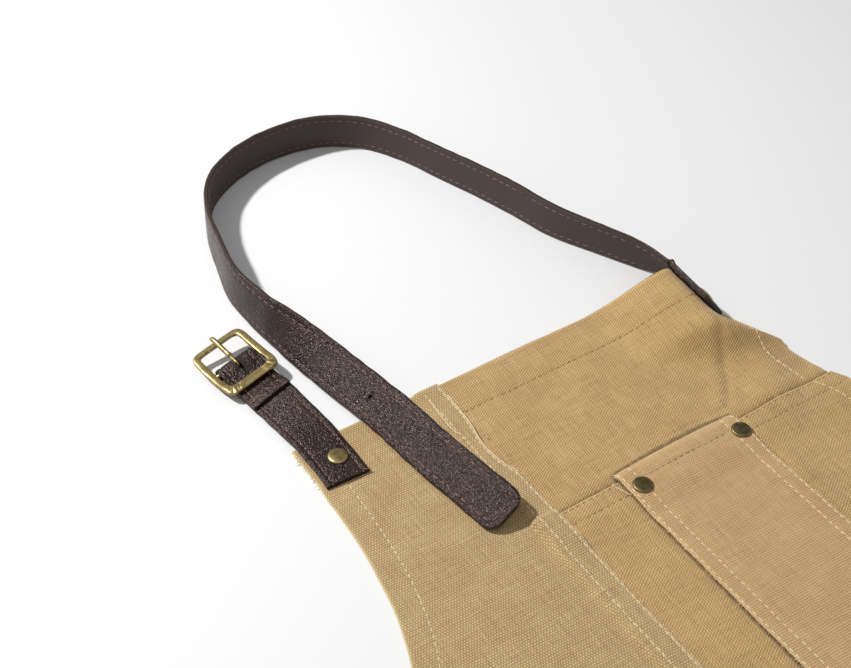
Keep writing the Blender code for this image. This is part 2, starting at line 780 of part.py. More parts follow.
def make_pocket_rivets(pocket, front, yoke, metal):
    left = POCKET_MIDDLE - POCKET_WIDTH / 2
    right = POCKET_MIDDLE + POCKET_WIDTH / 2
    top = YOKE_SEAM + POCKET_ABOVE_SEAM
    spots = (
        # name, u, depth below the pocket's top
        ("left", left + POCKET_RIVET_INSET, POCKET_RIVET_BELOW_TOP),
        ("right", right - POCKET_RIVET_INSET * 0.65, POCKET_RIVET_BELOW_TOP * 0.9),
    )
    for name, u, below in spots:
        v = top - below
        height = pocket_under(u, v) + CANVAS
        cloth_rivet(f"pocket_rivet_{name}", u, v, height, (pocket, front, yoke), metal)


def build():
    for item in list(bpy.data.objects):
        bpy.data.objects.remove(item, do_unlink=True)
    twill = new_material("twill", (0.47, 0.33, 0.17), 0.9)
    duck = new_material("duck", (0.55, 0.40, 0.22), 0.9)
    pocket_cloth = new_material("pocket_cloth", (0.58, 0.42, 0.27), 0.9)
    leather = new_material("leather", (0.045, 0.026, 0.020), 0.4)
    brass = new_material("brass", (0.42, 0.31, 0.13), 0.35, 1.0)
    yoke = make_yoke(twill)
    front = make_front(twill)
    side = make_side(duck)
    pocket = make_pocket(pocket_cloth)
    strap = make_strap(leather)
    tab = make_tab(leather)
    make_frame(brass)
    make_prong(brass)
    make_pocket_rivets(pocket, front, yoke, brass)
    make_strap_rivet(strap, yoke, brass)
    make_tab_rivet(tab, side, brass)
    make_ties(side, front, twill, brass)


build()
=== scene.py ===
"""Looks of the cotton work apron: cloth, stitches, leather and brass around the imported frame.

Lengths are in metres unless a name says mm. u runs across the flat apron and v up it from the
waist, so a point of the cloth has the same u and v in every function here.
"""

import math
from functools import lru_cache

import bpy
import numpy as np
from mathutils import Matrix, Vector


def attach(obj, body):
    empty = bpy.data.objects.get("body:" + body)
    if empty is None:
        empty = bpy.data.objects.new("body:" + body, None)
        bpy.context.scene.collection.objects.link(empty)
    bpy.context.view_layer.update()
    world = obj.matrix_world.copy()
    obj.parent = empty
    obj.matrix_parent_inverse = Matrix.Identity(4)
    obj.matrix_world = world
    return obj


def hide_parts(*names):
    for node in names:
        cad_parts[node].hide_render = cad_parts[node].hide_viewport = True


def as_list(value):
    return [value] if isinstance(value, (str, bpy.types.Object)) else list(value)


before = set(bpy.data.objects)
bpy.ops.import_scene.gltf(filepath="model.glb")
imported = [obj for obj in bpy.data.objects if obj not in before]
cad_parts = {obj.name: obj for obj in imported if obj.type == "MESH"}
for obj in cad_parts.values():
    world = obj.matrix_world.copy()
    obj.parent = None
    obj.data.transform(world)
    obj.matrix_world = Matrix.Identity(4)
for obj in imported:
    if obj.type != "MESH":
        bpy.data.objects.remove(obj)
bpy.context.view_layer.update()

# Sizes that the CAD source has too
CANVAS = 0.0012
STRAP_LEATHER = 0.0026
TAB_LEATHER = 0.0018
GAP = 0.0003
LAYER = CANVAS + GAP
BIB_HEIGHT = 0.270
BIB_TOP_WIDTH = 0.268
BIB_TAPER = 0.010
ARMHOLE_POWER = 4
APRON_WIDTH = 0.640
SKIRT_LENGTH = 0.530
SIDE_SEAM = 0.045
YOKE_DEPTH = 0.1093
YOKE_SEAM = BIB_HEIGHT - YOKE_DEPTH
SEAM_LAP = 0.0125
STEP_RUN = 0.004
POCKET_WIDTH = 0.079
POCKET_DEPTH = 0.190
POCKET_MIDDLE = 0.0325
POCKET_ABOVE_SEAM = 0.005
POCKET_MOUTH = 0.0016
MOUTH_FADE = 0.060
POCKET_RIVET_INSET = 0.0073
POCKET_RIVET_BELOW_TOP = 0.0146
CORNER_MARGIN = 0.0235
CORNER_SLOPE_TOP = math.radians(60)
CORNER_SLOPE_LOW = math.radians(51)
CORNER_RUN = 0.058
CORNER_OPENING = 0.045
CORNER_PULL = 0.45
CORNER_DRAW = 0.005
RIDGE_ROUND = 0.0025
STRAP_WIDTH = 0.025
STRAP_SEAT = 0.037
STRAP_FROM_EDGE = 0.0012
STRAP_END_REST = 0.004
STRAP_STANDS_OFF = 0.0010
LOOP_WIDTH = 0.208
LOOP_REACH = 0.233
STRAP_TIP_RADIUS = 0.007
STRAP_HOLE_RADIUS = 0.0013
STRAP_HOLES_FROM_TIP = (0.107, 0.315)
BUCKLE_INSET = 0.0037
BUCKLE_REACH = 0.069
BUCKLE_LIFT = 0.0060
BUCKLE_TURN = math.radians(10)
BUCKLE_TILT = math.radians(7)
BUCKLE_PITCH = math.radians(1)
FRAME_WIDTH = 0.0335
FRAME_TOE = 0.0193
FRAME_HEEL = 0.0189
TOE_BAR = 0.0031
HEEL_BAR = 0.0057
SIDE_BAR = 0.0036
FRAME_THICK = 0.0026
CENTRE_BAR_RADIUS = 0.0013
CENTRE_BAR_DROP = 0.0020
PRONG_RADIUS = 0.0010
PRONG_PLAY = 0.00035
PRONG_PAST_TOE = 0.0008
SLOT_PLAY = 0.0006
SLOT_LENGTH = 0.0095
TAB_WIDTH = 0.0245
TAB_FOLD_BACK = 0.034
TAB_FOLD_RADIUS = CENTRE_BAR_RADIUS + GAP + TAB_LEATHER / 2
TAB_RIVET_ASIDE = 0.0024
RIVET_CAP_RADIUS = 0.0053
RIVET_CAP_RISE = 0.0016
SHANK_RADIUS = 0.0015
STRAP_RIVET_FROM_END = 0.009
TIE_WIDTH = 0.025
TIE_LENGTH = 0.500
TIE_FROM_SIDE = 0.030
TIE_BELOW_WAIST = 0.010
TIE_RIVET_BELOW_END = 0.012

STRAP_ROUTE = (
    # across, beyond, lean
    (0.534, 0.076, 75),
    (0.471, 0.190, 81),
    (0.410, 0.305, 87),
    (0.375, 0.432, 89),
    (0.336, 0.558, 88),
    (0.291, 0.682, 87),
    (0.246, 0.805, 86),
    (0.173, 0.916, 86),
    (0.054, 0.985, 87),
    (-0.089, 1.000, 87),
    (-0.232, 0.970, 89),
    (-0.357, 0.896, 89),
    (-0.432, 0.784, 88),
    (-0.476, 0.655, 84),
    (-0.510, 0.524, 79),
    (-0.508, 0.390, 71),
    (-0.501, 0.324, 61),
    (-0.495, 0.259, 49),
    (-0.474, 0.132, 30),
    (-0.443, -0.052, 23.5),
    (-0.429, -0.181, 27.5),
    (-0.408, -0.313, 30),
    (-0.387, -0.440, 25),
)
TAB_ROUTE = (
    # along, across, lift, tilt
    (-0.486, 0.56, 0.42, 0),
    (-0.260, 0.58, 0.42, 0),
    (-0.116, 0.57, 0.44, 0.5),
    (0.043, 0.55, 0.55, 3),
    (0.230, 0.48, 0.62, 8),
    (0.400, 0.42, 0.72, 12),
    (0.540, 0.36, 0.78, 13),
)
CLOTH_SWELLS = (
    # across, down, length, width, turn, lift
    (0.80, 0.360, 0.17, 0.085, -32, 0.12),
    (0.42, 0.26, 0.22, 0.10, -24, 0.05),
)

# Sizes of what only the looks have
SOFT_RUN = 0.016
HEM_TOP = 0.025
HEM_SIDE = 0.014
FACE_ROOM = 0.00034
EDGE_RADIUS = 0.0009
SEAM_ROW = 0.0014
SEAM_SECOND_ROW = 0.0105
YOKE_SECOND_ROW = 0.0097
POCKET_ROW = 0.0016
POCKET_SECOND_ROW = 0.0088
POCKET_HEM = 0.0105
TIE_ROW = 0.0025
ROW_END = 0.002
STITCH_PITCH = 0.0040
STITCH_LENGTH = 0.0031
THREAD = 0.00027
HAIR = 0.00016
STRAP_ROW = 0.0038
STRAP_PITCH = 0.0052
STRAP_STITCH = 0.0037
STRAP_THREAD = 0.00030
STRAP_PUFF = 0.00022
TAB_ROW = 0.0036
TAB_PUFF = 0.00012

# The pocket's edges and its upright rows of stitches
POCKET_LEFT = POCKET_MIDDLE - POCKET_WIDTH / 2
POCKET_RIGHT = POCKET_MIDDLE + POCKET_WIDTH / 2
POCKET_TOP = YOKE_SEAM + POCKET_ABOVE_SEAM
POCKET_BOTTOM = POCKET_TOP - POCKET_DEPTH
POCKET_SIDE_ROWS = (POCKET_LEFT + POCKET_ROW, POCKET_LEFT + POCKET_SECOND_ROW,
                    POCKET_RIGHT - POCKET_ROW, POCKET_RIGHT - POCKET_SECOND_ROW)


# Noise

@lru_cache(maxsize=None)
def noise_table(seed):
    return np.random.default_rng(seed).uniform(-1.0, 1.0, (64, 64))


def noise(x, y, seed):
    """Smooth noise from -1 to 1 that changes over one unit."""
    table = noise_table(seed)
    x, y = np.broadcast_arrays(np.asarray(x, float), np.asarray(y, float))
    column = np.floor(x).astype(int)
    row = np.floor(y).astype(int)
    fx = x - column
    fy = y - row
    fx = fx * fx * (3 - 2 * fx)
    fy = fy * fy * (3 - 2 * fy)
    low = table[column % 64, row % 64] * (1 - fx) + table[(column + 1) % 64, row % 64] * fx
    high = table[column % 64, (row + 1) % 64] * (1 - fx)
    high = high + table[(column + 1) % 64, (row + 1) % 64] * fx
    return low * (1 - fy) + high * fy


def smooth(share):
    share = np.clip(share, 0.0, 1.0)
    return share * share * (3.0 - 2.0 * share)


def ridge(distance, width):
    """1 at distance 0, fading over the width."""
    return np.exp(-((distance / width) ** 2))


# How the cloth lies

def half_width(v):
    drop = np.clip((BIB_HEIGHT - np.asarray(v, float)) / BIB_HEIGHT, 0.0, 1.0)
    flare = (APRON_WIDTH - BIB_TOP_WIDTH) / 2 - BIB_TAPER
    return BIB_TOP_WIDTH / 2 + BIB_TAPER * drop + flare * drop**ARMHOLE_POWER


EDGE_DRAW = (
    # up from the waist, how far the right edge is drawn in
    (0.130, 0.0),
    (0.151, -0.0008),
    (0.158, 0.0015),
    (0.163, 0.0036),
    (0.190, 0.0036),
    (0.198, 0.0012),
    (0.206, -0.0026),
    (0.212, -0.0042),
    (0.220, -0.0052),
    (0.228, -0.0044),
    (0.236, -0.0020),
    (0.245, 0.0),
)


SEAM_DRAW = (
    # up from the waist, how far the side panel's seam edge is drawn in
    (0.190, 0.0),
    (0.196, 0.0009),
    (0.202, 0.0032),
    (0.213, 0.0045),
    (0.223, 0.0040),
    (0.234, 0.0013),
    (0.247, 0.0003),
    (0.257, 0.0),
)


def eased(v, table, reach):
    """A table's value at v, with its corners rounded."""
    ups, values = np.array(table).T
    steps = np.linspace(-reach, reach, 7)
    return sum(np.interp(np.asarray(v, float) + step, ups, values) for step in steps) / 7


def right_edge(v):
    """The right edge, a little out beside the lifted corner and drawn in below it."""
    return half_width(v) - eased(v, EDGE_DRAW, 0.005)


def seam_edge(v):
    """The side panel's edge on the yoke, drawn in where its thread has come loose."""
    return -SIDE_SEAM - eased(v, SEAM_DRAW, 0.003)


def corner_rows(v, inward):
    """Sideways shift and height of the lifted corner along one row."""
    share = min(max((v - BIB_HEIGHT + STRAP_SEAT) / STRAP_SEAT, 0.0), 1.0)
    slope = CORNER_SLOPE_LOW + (CORNER_SLOPE_TOP - CORNER_SLOPE_LOW) * share
    opened = BIB_HEIGHT - STRAP_SEAT - STRAP_END_REST - CORNER_OPENING
    share = smooth((v - opened) / CORNER_OPENING)
    turned = CORNER_MARGIN * share
    outer = inward * math.sin(slope)
    inner = turned * math.sin(slope) * (1.0 - smooth((inward - turned) / CORNER_RUN))
    height = (outer + inner - np.sqrt((outer - inner) ** 2 + (share * RIDGE_ROUND) ** 2)) / 2
    height = np.maximum(height, 0.0)
    run = np.sqrt(np.maximum(np.diff(inward) ** 2 - np.diff(height) ** 2, 0.0))
    from_edge = np.concatenate(([0.0], np.cumsum(run)))
    draw = CORNER_DRAW * share * min(max((BIB_HEIGHT - v) / STRAP_SEAT, 0.0), 1.0)
    shift = inward - from_edge + from_edge[-1] - inward[-1]
    return shift - draw * (1.0 - inward / inward[-1]), height


CORNER_INWARD = np.linspace(0.0, CORNER_MARGIN + CORNER_RUN, 164)
CORNER_V = np.linspace(BIB_HEIGHT - 0.095, BIB_HEIGHT + 0.003, 197)
CORNER = np.array([corner_rows(v, CORNER_INWARD) for v in CORNER_V])


def from_table(table, v, from_edge):
    row = np.clip((v - CORNER_V[0]) / (CORNER_V[1] - CORNER_V[0]), 0, len(CORNER_V) - 1.001)
    column = np.clip(from_edge / CORNER_INWARD[1], 0, len(CORNER_INWARD) - 1.001)
    i = row.astype(int)
    j = column.astype(int)
    fi = row - i
    fj = column - j
    low = table[i, j] * (1 - fj) + table[i, j + 1] * fj
    high = table[i + 1, j] * (1 - fj) + table[i + 1, j + 1] * fj
    return low * (1 - fi) + high * fi


def swell(u, v):
    height = np.zeros_like(u)
    for across, down, length, width, turn, lift in CLOTH_SWELLS:
        du = u - across * BIB_TOP_WIDTH / 2
        dv = v - BIB_HEIGHT * (1.0 - down)
        angle = math.radians(turn)
        along = (dv * math.cos(angle) - du * math.sin(angle)) / (length * BIB_HEIGHT)
        aside = (du * math.cos(angle) + dv * math.sin(angle)) / (width * BIB_HEIGHT)
        reach = np.minimum(np.hypot(along, aside), 1.0)
        height += lift * CORNER_MARGIN * np.cos(reach * math.pi / 2) ** 2
    return height


def ripple(u, v):
    """Small unevenness of cloth that has been folded and worn."""
    wide = 0.5 + 0.5 * noise(u / 0.043 + 7.3, v / 0.055 + 1.7, 11)
    fine = 0.5 + 0.5 * noise((u + v * 0.5) / 0.013, (v - u * 0.5) / 0.021, 12)
    crease = ridge(noise(u / 0.06 + 3.1, v / 0.035 + 9.2, 13), 0.10)
    return 0.00042 * wide + 0.00014 * fine + 0.00012 * crease + corner_fold(u, v)


CORNER_FOLD = (
    # up, across: a soft fold from the lifted corner to the pocket
    (0.1650, 0.0720),
    (0.1711, 0.0747),
    (0.1865, 0.0886),
    (0.2065, 0.1014),
    (0.2227, 0.1114),
    (0.2330, 0.1180),
)


def corner_fold(u, v):
    ups, across = np.array(CORNER_FOLD).T
    aside = (u - np.interp(v, ups, across)) * 0.85
    fade = smooth((v - 0.166) / 0.016) * smooth((0.233 - v) / 0.016)
    valley = -0.00075 * ridge(aside - 0.0004, 0.0022)
    return fade * (valley + 0.00075 * ridge(aside + 0.0052, 0.0042) + 0.0004 * ridge(aside - 0.006, 0.005))


def lie(u, v):
    u, v = np.broadcast_arrays(np.asarray(u, float), np.asarray(v, float))
    from_edge = half_width(v) - u
    near = (from_edge < CORNER_INWARD[-1]) & (v > CORNER_V[0])
    shift = np.where(near, from_table(CORNER[:, 0], v, from_edge), 0.0)
    lift = np.where(near, from_table(CORNER[:, 1], v, from_edge), 0.0)
    return np.stack([u + shift, v - CORNER_PULL * lift, lift + swell(u, v) + ripple(u, v)], -1)


def drape(u, v, h):
    """Points at height h over points of the flat cloth."""
    step = 0.0006
    across = lie(u + step, v) - lie(u - step, v)
    along = lie(u, v + step) - lie(u, v - step)
    normal = np.cross(across, along)
    normal /= np.linalg.norm(normal, axis=-1, keepdims=True)
    return lie(u, v) + normal * np.asarray(h)[..., None]


# How the layers are stacked, as in the CAD source, with hems and seams pressed into them

def over_lap(v):
    below = smooth((v - YOKE_SEAM + SEAM_LAP + SOFT_RUN + GAP) / SOFT_RUN)
    above = smooth((YOKE_SEAM + STEP_RUN + GAP - v) / STEP_RUN)
    return np.minimum(below, above)


def over_front(v):
    return LAYER * (1.0 + over_lap(v))


def groove(distance, along, depth=0.00034, width=0.0009):
    """The cloth pulled down along a row of stitches, deepest where the thread goes in."""
    dip = 0.62 + 0.38 * np.cos(2 * math.pi * along / STITCH_PITCH)
    return -depth * ridge(distance, width) * dip


def pucker(distance, along, seed, size=0.00022, reach=0.0055):
    """Small ruffles across a row of stitches."""
    return size * ridge(distance, reach) * noise(along / 0.0036, distance / 0.009, seed)


def sewn(distance, along, seed, depth=0.00034, size=0.00022):
    """A row of stitches with its ruffles."""
    return groove(distance, along, depth) + pucker(distance, along, seed, size)


def folded(inside, width, height, run=0.002):
    """How much higher the cloth stands within a width of its edge, where it is folded under."""
    return height * smooth((width - inside) / run)


def top_roll(v):
    """The rounded fold along the bib's top edge."""
    return 0.00030 * ridge(BIB_HEIGHT - v - 0.0022, 0.0016)


def pressed_round_pocket(u, v):
    """The cloth stands up a little round the pocket and dips where the pocket's edge holds it."""
    aside = np.abs(u - POCKET_MIDDLE) - POCKET_WIDTH / 2
    above = v - YOKE_SEAM - POCKET_ABOVE_SEAM
    below = -above - POCKET_DEPTH
    away = np.hypot(np.maximum(aside, 0.0), np.maximum(np.maximum(above, below), 0.0))
    uneven = 0.75 + 0.35 * noise(u / 0.02, v / 0.02, 71)
    stands = 0.00062 * ridge(away - 0.0058, 0.0034) * uneven - 0.00036 * ridge(away, 0.0015)
    return np.where(away > 0.0, stands, -0.00036 * np.ones_like(away))


def right_side_relief(u, v):
    inside = right_edge(v) - u
    return folded(inside, HEM_SIDE + 0.0006, 0.00030, 0.0012) + sewn(inside - HEM_SIDE, v, 21)


def top_hem_relief(u, v):
    inside = BIB_HEIGHT - v
    step = folded(inside, HEM_TOP + 0.0004, 0.00022, 0.0012)
    return step + top_roll(v) + sewn(inside - HEM_TOP, u, 22, 0.00026, 0.00016)


def bottom_hem_relief(u, v):
    inside = v + SKIRT_LENGTH
    return folded(inside, HEM_TOP, 0.00022, 0.0012) + sewn(inside - HEM_TOP, u, 23)


def yoke_under(u, v):
    return np.zeros_like(u)


def yoke_thick(u, v):
    # The front panel's edge presses the yoke just above the seam, and the yoke stands up above it.
    above = v - YOKE_SEAM
    uneven = 0.75 + 0.35 * noise(u / 0.018, 0.5, 72)
    seam = 0.00075 * ridge(above - 0.0062, 0.0036) * uneven - 0.00042 * ridge(above - 0.0010, 0.0014)
    relief = top_hem_relief(u, v) + right_side_relief(u, v)
    away = np.where(above > 0.012, pressed_round_pocket(u, v), 0.0)
    return CANVAS - 0.00030 + relief + seam + away


def front_under(u, v):
    return LAYER * over_lap(v)


def front_thick(u, v):
    below = YOKE_SEAM - v
    relief = right_side_relief(u, v) + bottom_hem_relief(u, v) + folded(below, SEAM_LAP, 0.00018)
    relief = relief + groove(below - SEAM_ROW, u, 0.00030, 0.0007)
    relief = relief + sewn(below - YOKE_SECOND_ROW, u, 24, 0.00032)
    return CANVAS - FACE_ROOM + relief + pressed_round_pocket(u, v)


def side_under(u, v):
    rise = smooth((u + SIDE_SEAM + SEAM_LAP + STEP_RUN + GAP) / STEP_RUN)
    return over_front(v) * rise


def side_thick(u, v):
    from_seam = seam_edge(v) - u
    second = -SIDE_SEAM - SEAM_SECOND_ROW - u
    inside = half_width(v) + u
    relief = groove(from_seam - SEAM_ROW, v, 0.00036, 0.0007) + sewn(second, v, 25, size=0.00030)
    relief = relief + pucker(from_seam - SEAM_ROW, v, 26, 0.00026, 0.003)
    hem = folded(inside, HEM_SIDE + 0.0006, 0.00030, 0.0012) + sewn(inside - HEM_SIDE, v, 27)
    relief = relief + hem + folded(from_seam, SEAM_LAP, 0.00020)
    return CANVAS - FACE_ROOM + relief + top_roll(v) + bottom_hem_relief(u, v)


def pocket_under(u, v):
    share = np.clip((u - POCKET_MIDDLE) / POCKET_WIDTH + 0.5, 0.0, 1.0)
    mouth = POCKET_MOUTH * np.sin(math.pi * share)
    return over_front(v) + mouth * (1.0 - smooth((POCKET_TOP - v) / MOUTH_FADE))


def pocket_thick(u, v):
    side = POCKET_WIDTH / 2 - np.abs(u - POCKET_MIDDLE)
    below = POCKET_TOP - v
    above = v - POCKET_BOTTOM
    relief = groove(side - POCKET_ROW, v, 0.00030, 0.0007) + sewn(side - POCKET_SECOND_ROW, v, 28)
    relief = relief + sewn(below - POCKET_HEM, u, 29, 0.00026)
    relief = relief + groove(above - POCKET_ROW, u) + groove(above - POCKET_SECOND_ROW, u)
    fold = folded(side, POCKET_SECOND_ROW + 0.001, 0.00022)
    return CANVAS - FACE_ROOM + relief + fold + folded(below, POCKET_HEM + 0.001, 0.00018)


def on(under, thick):
    """A function that places points at height h over a panel's face."""
    def place(u, v, h):
        return drape(u, v, under(u, v) + thick(u, v) + h)
    return place


# Shader building

class Shader:
    """A material and short calls that add nodes to it."""

    def __init__(self, name, **constants):
        self.material = bpy.data.materials.new(name)
        self.material.use_nodes = True
        self.tree = self.material.node_tree
        self.surface = self.tree.nodes["Principled BSDF"]
        for key, value in constants.items():
            self.surface.inputs[key.replace("_", " ")].default_value = value

    def put(self, socket, value):
        if isinstance(value, bpy.types.NodeSocket):
            self.tree.links.new(value, socket)
        elif value is not None:
            socket.default_value = value

    def add(self, kind, inputs=(), **settings):
        node = self.tree.nodes.new(kind)
        for key, value in settings.items():
            setattr(node, key, value)
        for key, value in dict(inputs).items():
            self.put(node.inputs[key], value)
        return node

    def attribute(self, name, output="Vector"):
        return self.add("ShaderNodeAttribute", attribute_name=name).outputs[output]

    def math(self, operation, *values, kind="ShaderNodeMath"):
        node = self.add(kind, operation=operation)
        for socket, value in zip(node.inputs, values):
            self.put(socket, value)
        return node.outputs[0]

    def vector(self, operation, *values):
        return self.math(operation, *values, kind="ShaderNodeVectorMath")

    def split(self, vector):
        outputs = self.add("ShaderNodeSeparateXYZ", {"Vector": vector}).outputs
        return outputs["X"], outputs["Y"]

    def noise(self, vector, scale, detail=2.0, roughness=0.5):
        inputs = {"Vector": vector, "Scale": scale, "Detail": detail, "Roughness": roughness}
        return self.add("ShaderNodeTexNoise", inputs).outputs["Fac"]

    def cells(self, vector, scale, feature="F1"):
        inputs = {"Vector": vector, "Scale": scale}
        return self.add("ShaderNodeTexVoronoi", inputs, feature=feature).outputs["Distance"]

    def ramp(self, value, low, high, to_low=0.0, to_high=1.0):
        node = self.add("ShaderNodeMapRange", clamp=True)
        for index, number in enumerate((value, low, high, to_low, to_high)):
            self.put(node.inputs[index], number)
        return node.outputs[0]

    def mix(self, share, a, b):
        node = self.add("ShaderNodeMix", {0: share, 6: a, 7: b}, data_type="RGBA")
        return node.outputs[2]

    def bump(self, height, distance, strength):
        inputs = {"Height": height, "Distance": distance, "Strength": strength}
        return self.add("ShaderNodeBump", inputs).outputs["Normal"]

    def finish(self, **sockets):
        for key, value in sockets.items():
            self.put(self.surface.inputs[key.replace("_", " ")], value)
        return self.material


def rgb(red, green, blue):
    return (red, green, blue, 1.0)


def twill_painted_shade(s, x, y):
    """Painted shade: dark lines where the yoke meets the front panel, and round the pocket."""
    above = s.math("SUBTRACT", y, YOKE_SEAM * 1000)
    seam = s.math("MULTIPLY", s.ramp(above, 1.4, 2.9, 0.55, 0.0), s.ramp(above, -0.1, 0.1))
    top = POCKET_TOP * 1000
    across = s.math("SUBTRACT", x, POCKET_MIDDLE * 1000)
    aside = s.math("SUBTRACT", s.math("ABSOLUTE", across), POCKET_WIDTH * 500)
    # The pocket's mouth stands off the yoke, most in its middle, so the painted shade below it is wider
    # there.
    turn = s.math("MULTIPLY", across, math.pi / (POCKET_WIDTH * 1000))
    shaded = s.math("MULTIPLY_ADD", s.math("COSINE", turn), 2.3, 0.8)
    over = s.math("SUBTRACT", s.math("SUBTRACT", y, top), shaded)
    under = s.math("SUBTRACT", top - POCKET_DEPTH * 1000, y)
    away = s.math("ADD", s.math("MAXIMUM", aside, 0.0), s.math("MAXIMUM", over, 0.0))
    away = s.math("ADD", away, s.math("MAXIMUM", under, 0.0))
    return s.math("MAXIMUM", seam, s.ramp(away, 0.3, 1.7, 0.68, 0.0))


def cloth_material(name, dark, light, weave, painted_shade=None):
    """Woven cotton: weave gives the height of the threads' crossings from x and y in mm."""
    s = Shader(name, Roughness=0.88, Sheen_Weight=0.25, Sheen_Roughness=0.5, Specular_IOR_Level=0.25)
    flat = s.attribute("flat")
    drift = s.add("ShaderNodeTexNoise", {"Vector": flat, "Scale": 0.16, "Detail": 2.0})
    drift = s.vector("SUBTRACT", drift.outputs["Color"], (0.5, 0.5, 0.5))
    drift = s.vector("MULTIPLY", drift, (1.5, 1.5, 0.0))
    place = s.vector("ADD", flat, drift)
    threads = weave(s, *s.split(place))
    # Single yarns are thicker or thinner along their length.
    slub_x = s.noise(s.vector("MULTIPLY", place, (0.06, 1.1, 1.0)), 1.0, 1.0)
    slub_y = s.noise(s.vector("MULTIPLY", place, (1.1, 0.06, 1.0)), 1.0, 1.0)
    yarn = s.math("ADD", s.math("MULTIPLY", slub_x, 0.5), s.math("MULTIPLY", slub_y, 0.5))
    fuzz = s.noise(flat, 3.2, 3.0, 0.6)
    speck = s.ramp(s.noise(flat, 1.1, 1.0), 0.71, 0.78)
    blotch = s.noise(flat, 0.035, 3.0, 0.55)
    tone = s.math("MULTIPLY_ADD", threads, 0.85, s.ramp(yarn, 0.3, 0.7, -0.13, 0.22))
    tone = s.math("ADD", tone, s.ramp(fuzz, 0.3, 0.7, -0.14, 0.14))
    tone = s.math("ADD", tone, s.ramp(blotch, 0.3, 0.7, -0.06, 0.06))
    colour = s.mix(s.ramp(tone, 0.0, 1.0), dark, light)
    wear = s.math("MULTIPLY", s.attribute("wear", "Fac"), 0.35)
    colour = s.mix(wear, colour, rgb(*[min(1.0, c * 1.18) for c in light[:3]]))
    colour = s.mix(s.math("MULTIPLY", speck, 0.28), colour, rgb(*[c * 0.45 for c in dark[:3]]))
    # Painted shade: the colour is darkened along the yoke seam and round the pocket, where shade falls.
    if painted_shade:
        patchy = s.ramp(s.noise(flat, 0.25, 2.0), 0.3, 0.55, 0.55, 1.0)
        painted_shade_share = s.math("MULTIPLY", painted_shade(s, *s.split(flat)), patchy)
        colour = s.mix(painted_shade_share, colour, rgb(*[c * 0.30 for c in dark[:3]]))
    height = s.math("MULTIPLY", threads, s.ramp(yarn, 0.2, 0.8, 0.7, 1.2))
    height = s.math("ADD", height, s.math("MULTIPLY", fuzz, 0.30))
    return s.finish(Base_Color=colour, Normal=s.bump(height, 0.00042, 0.95))


def wave(s, x, y, across_per_mm, along_per_mm, phase=0.0):
    """A cosine over the cloth, from -1 to 1, with so many waves a mm each way."""
    turn = s.math("MULTIPLY", x, 2 * math.pi * across_per_mm)
    turn = s.math("MULTIPLY_ADD", y, 2 * math.pi * along_per_mm, turn)
    return s.math("COSINE", s.math("ADD", turn, phase))


def plain_weave(warp, weft):
    """Alternate crossings, where the thick weft yarns stand above the fine warp yarns."""
    def weave(s, x, y):
        over = s.math("MULTIPLY", wave(s, x, y, *warp), wave(s, x, y, *weft))
        weft_nub = s.math("POWER", s.math("MAXIMUM", over, 0.0), 0.6)
        warp_nub = s.math("POWER", s.math("MAXIMUM", s.math("MULTIPLY", over, -1.0), 0.0), 0.6)
        return s.math("MULTIPLY_ADD", warp_nub, 0.38, weft_nub)
    return weave


def twill_weave(s, x, y):
    """Diagonal ribs made of single crossings."""
    rib = s.ramp(wave(s, x, y, -0.40, 0.66), -0.9, 0.9, 0.42, 1.0)
    crossing = s.ramp(wave(s, x, y, -0.80, 0.05), -0.9, 0.9, 0.30, 1.0)
    return s.math("MULTIPLY", rib, crossing)


def thread_material(name, dark, light):
    s = Shader(name, Roughness=0.75, Sheen_Weight=0.3)
    place = s.add("ShaderNodeTexCoord").outputs["Object"]
    twist = s.noise(place, 2600.0, 2.0)
    colour = s.mix(s.ramp(twist, 0.35, 0.65), dark, light)
    return s.finish(Base_Color=colour, Normal=s.bump(twist, 0.0001, 0.6))


def leather_material():
    """Dark pebbled leather, with a matte back and paler cut edges."""
    s = Shader("strap_leather", Specular_IOR_Level=0.46, Specular_Tint=rgb(1.0, 0.83, 0.78))
    flat = s.attribute("flat")
    grain_side = s.attribute("grain", "Fac")
    edge = s.attribute("edge", "Fac")
    pebbles = s.cells(flat, 1.10, "SMOOTH_F1")
    pores = s.cells(flat, 2.0)
    grain = s.math("MULTIPLY_ADD", pebbles, -1.0, s.math("MULTIPLY", pores, -0.55))
    fibre = s.noise(flat, 1.9, 4.0, 0.65)
    height = s.add("ShaderNodeMix", {"Factor": grain_side, "A": fibre, "B": grain}).outputs[0]
    wide = s.noise(flat, 0.06, 3.0, 0.6)
    face = s.mix(s.ramp(wide, 0.35, 0.7), rgb(0.0130, 0.0064, 0.0051), rgb(0.0270, 0.0137, 0.0106))
    back = s.mix(s.ramp(fibre, 0.3, 0.7), rgb(0.040, 0.029, 0.026), rgb(0.078, 0.058, 0.053))
    colour = s.mix(grain_side, back, face)
    rim = s.mix(s.ramp(fibre, 0.35, 0.65), rgb(0.020, 0.012, 0.009), rgb(0.070, 0.046, 0.033))
    colour = s.mix(edge, colour, rim)
    # Some stretches are rubbed matte, and others keep their bright grain.
    rubbed = s.ramp(s.noise(flat, 0.045, 2.0), 0.45, 0.75)
    gloss = s.math("MULTIPLY_ADD", rubbed, 0.10, s.ramp(s.noise(flat, 0.9, 2.0), 0.3, 0.7, 0.19, 0.35))
    rough = s.add("ShaderNodeMix", {"Factor": grain_side, "A": 0.72, "B": gloss}).outputs[0]
    return s.finish(Base_Color=colour, Roughness=rough, Normal=s.bump(height, 0.00034, 1.0))


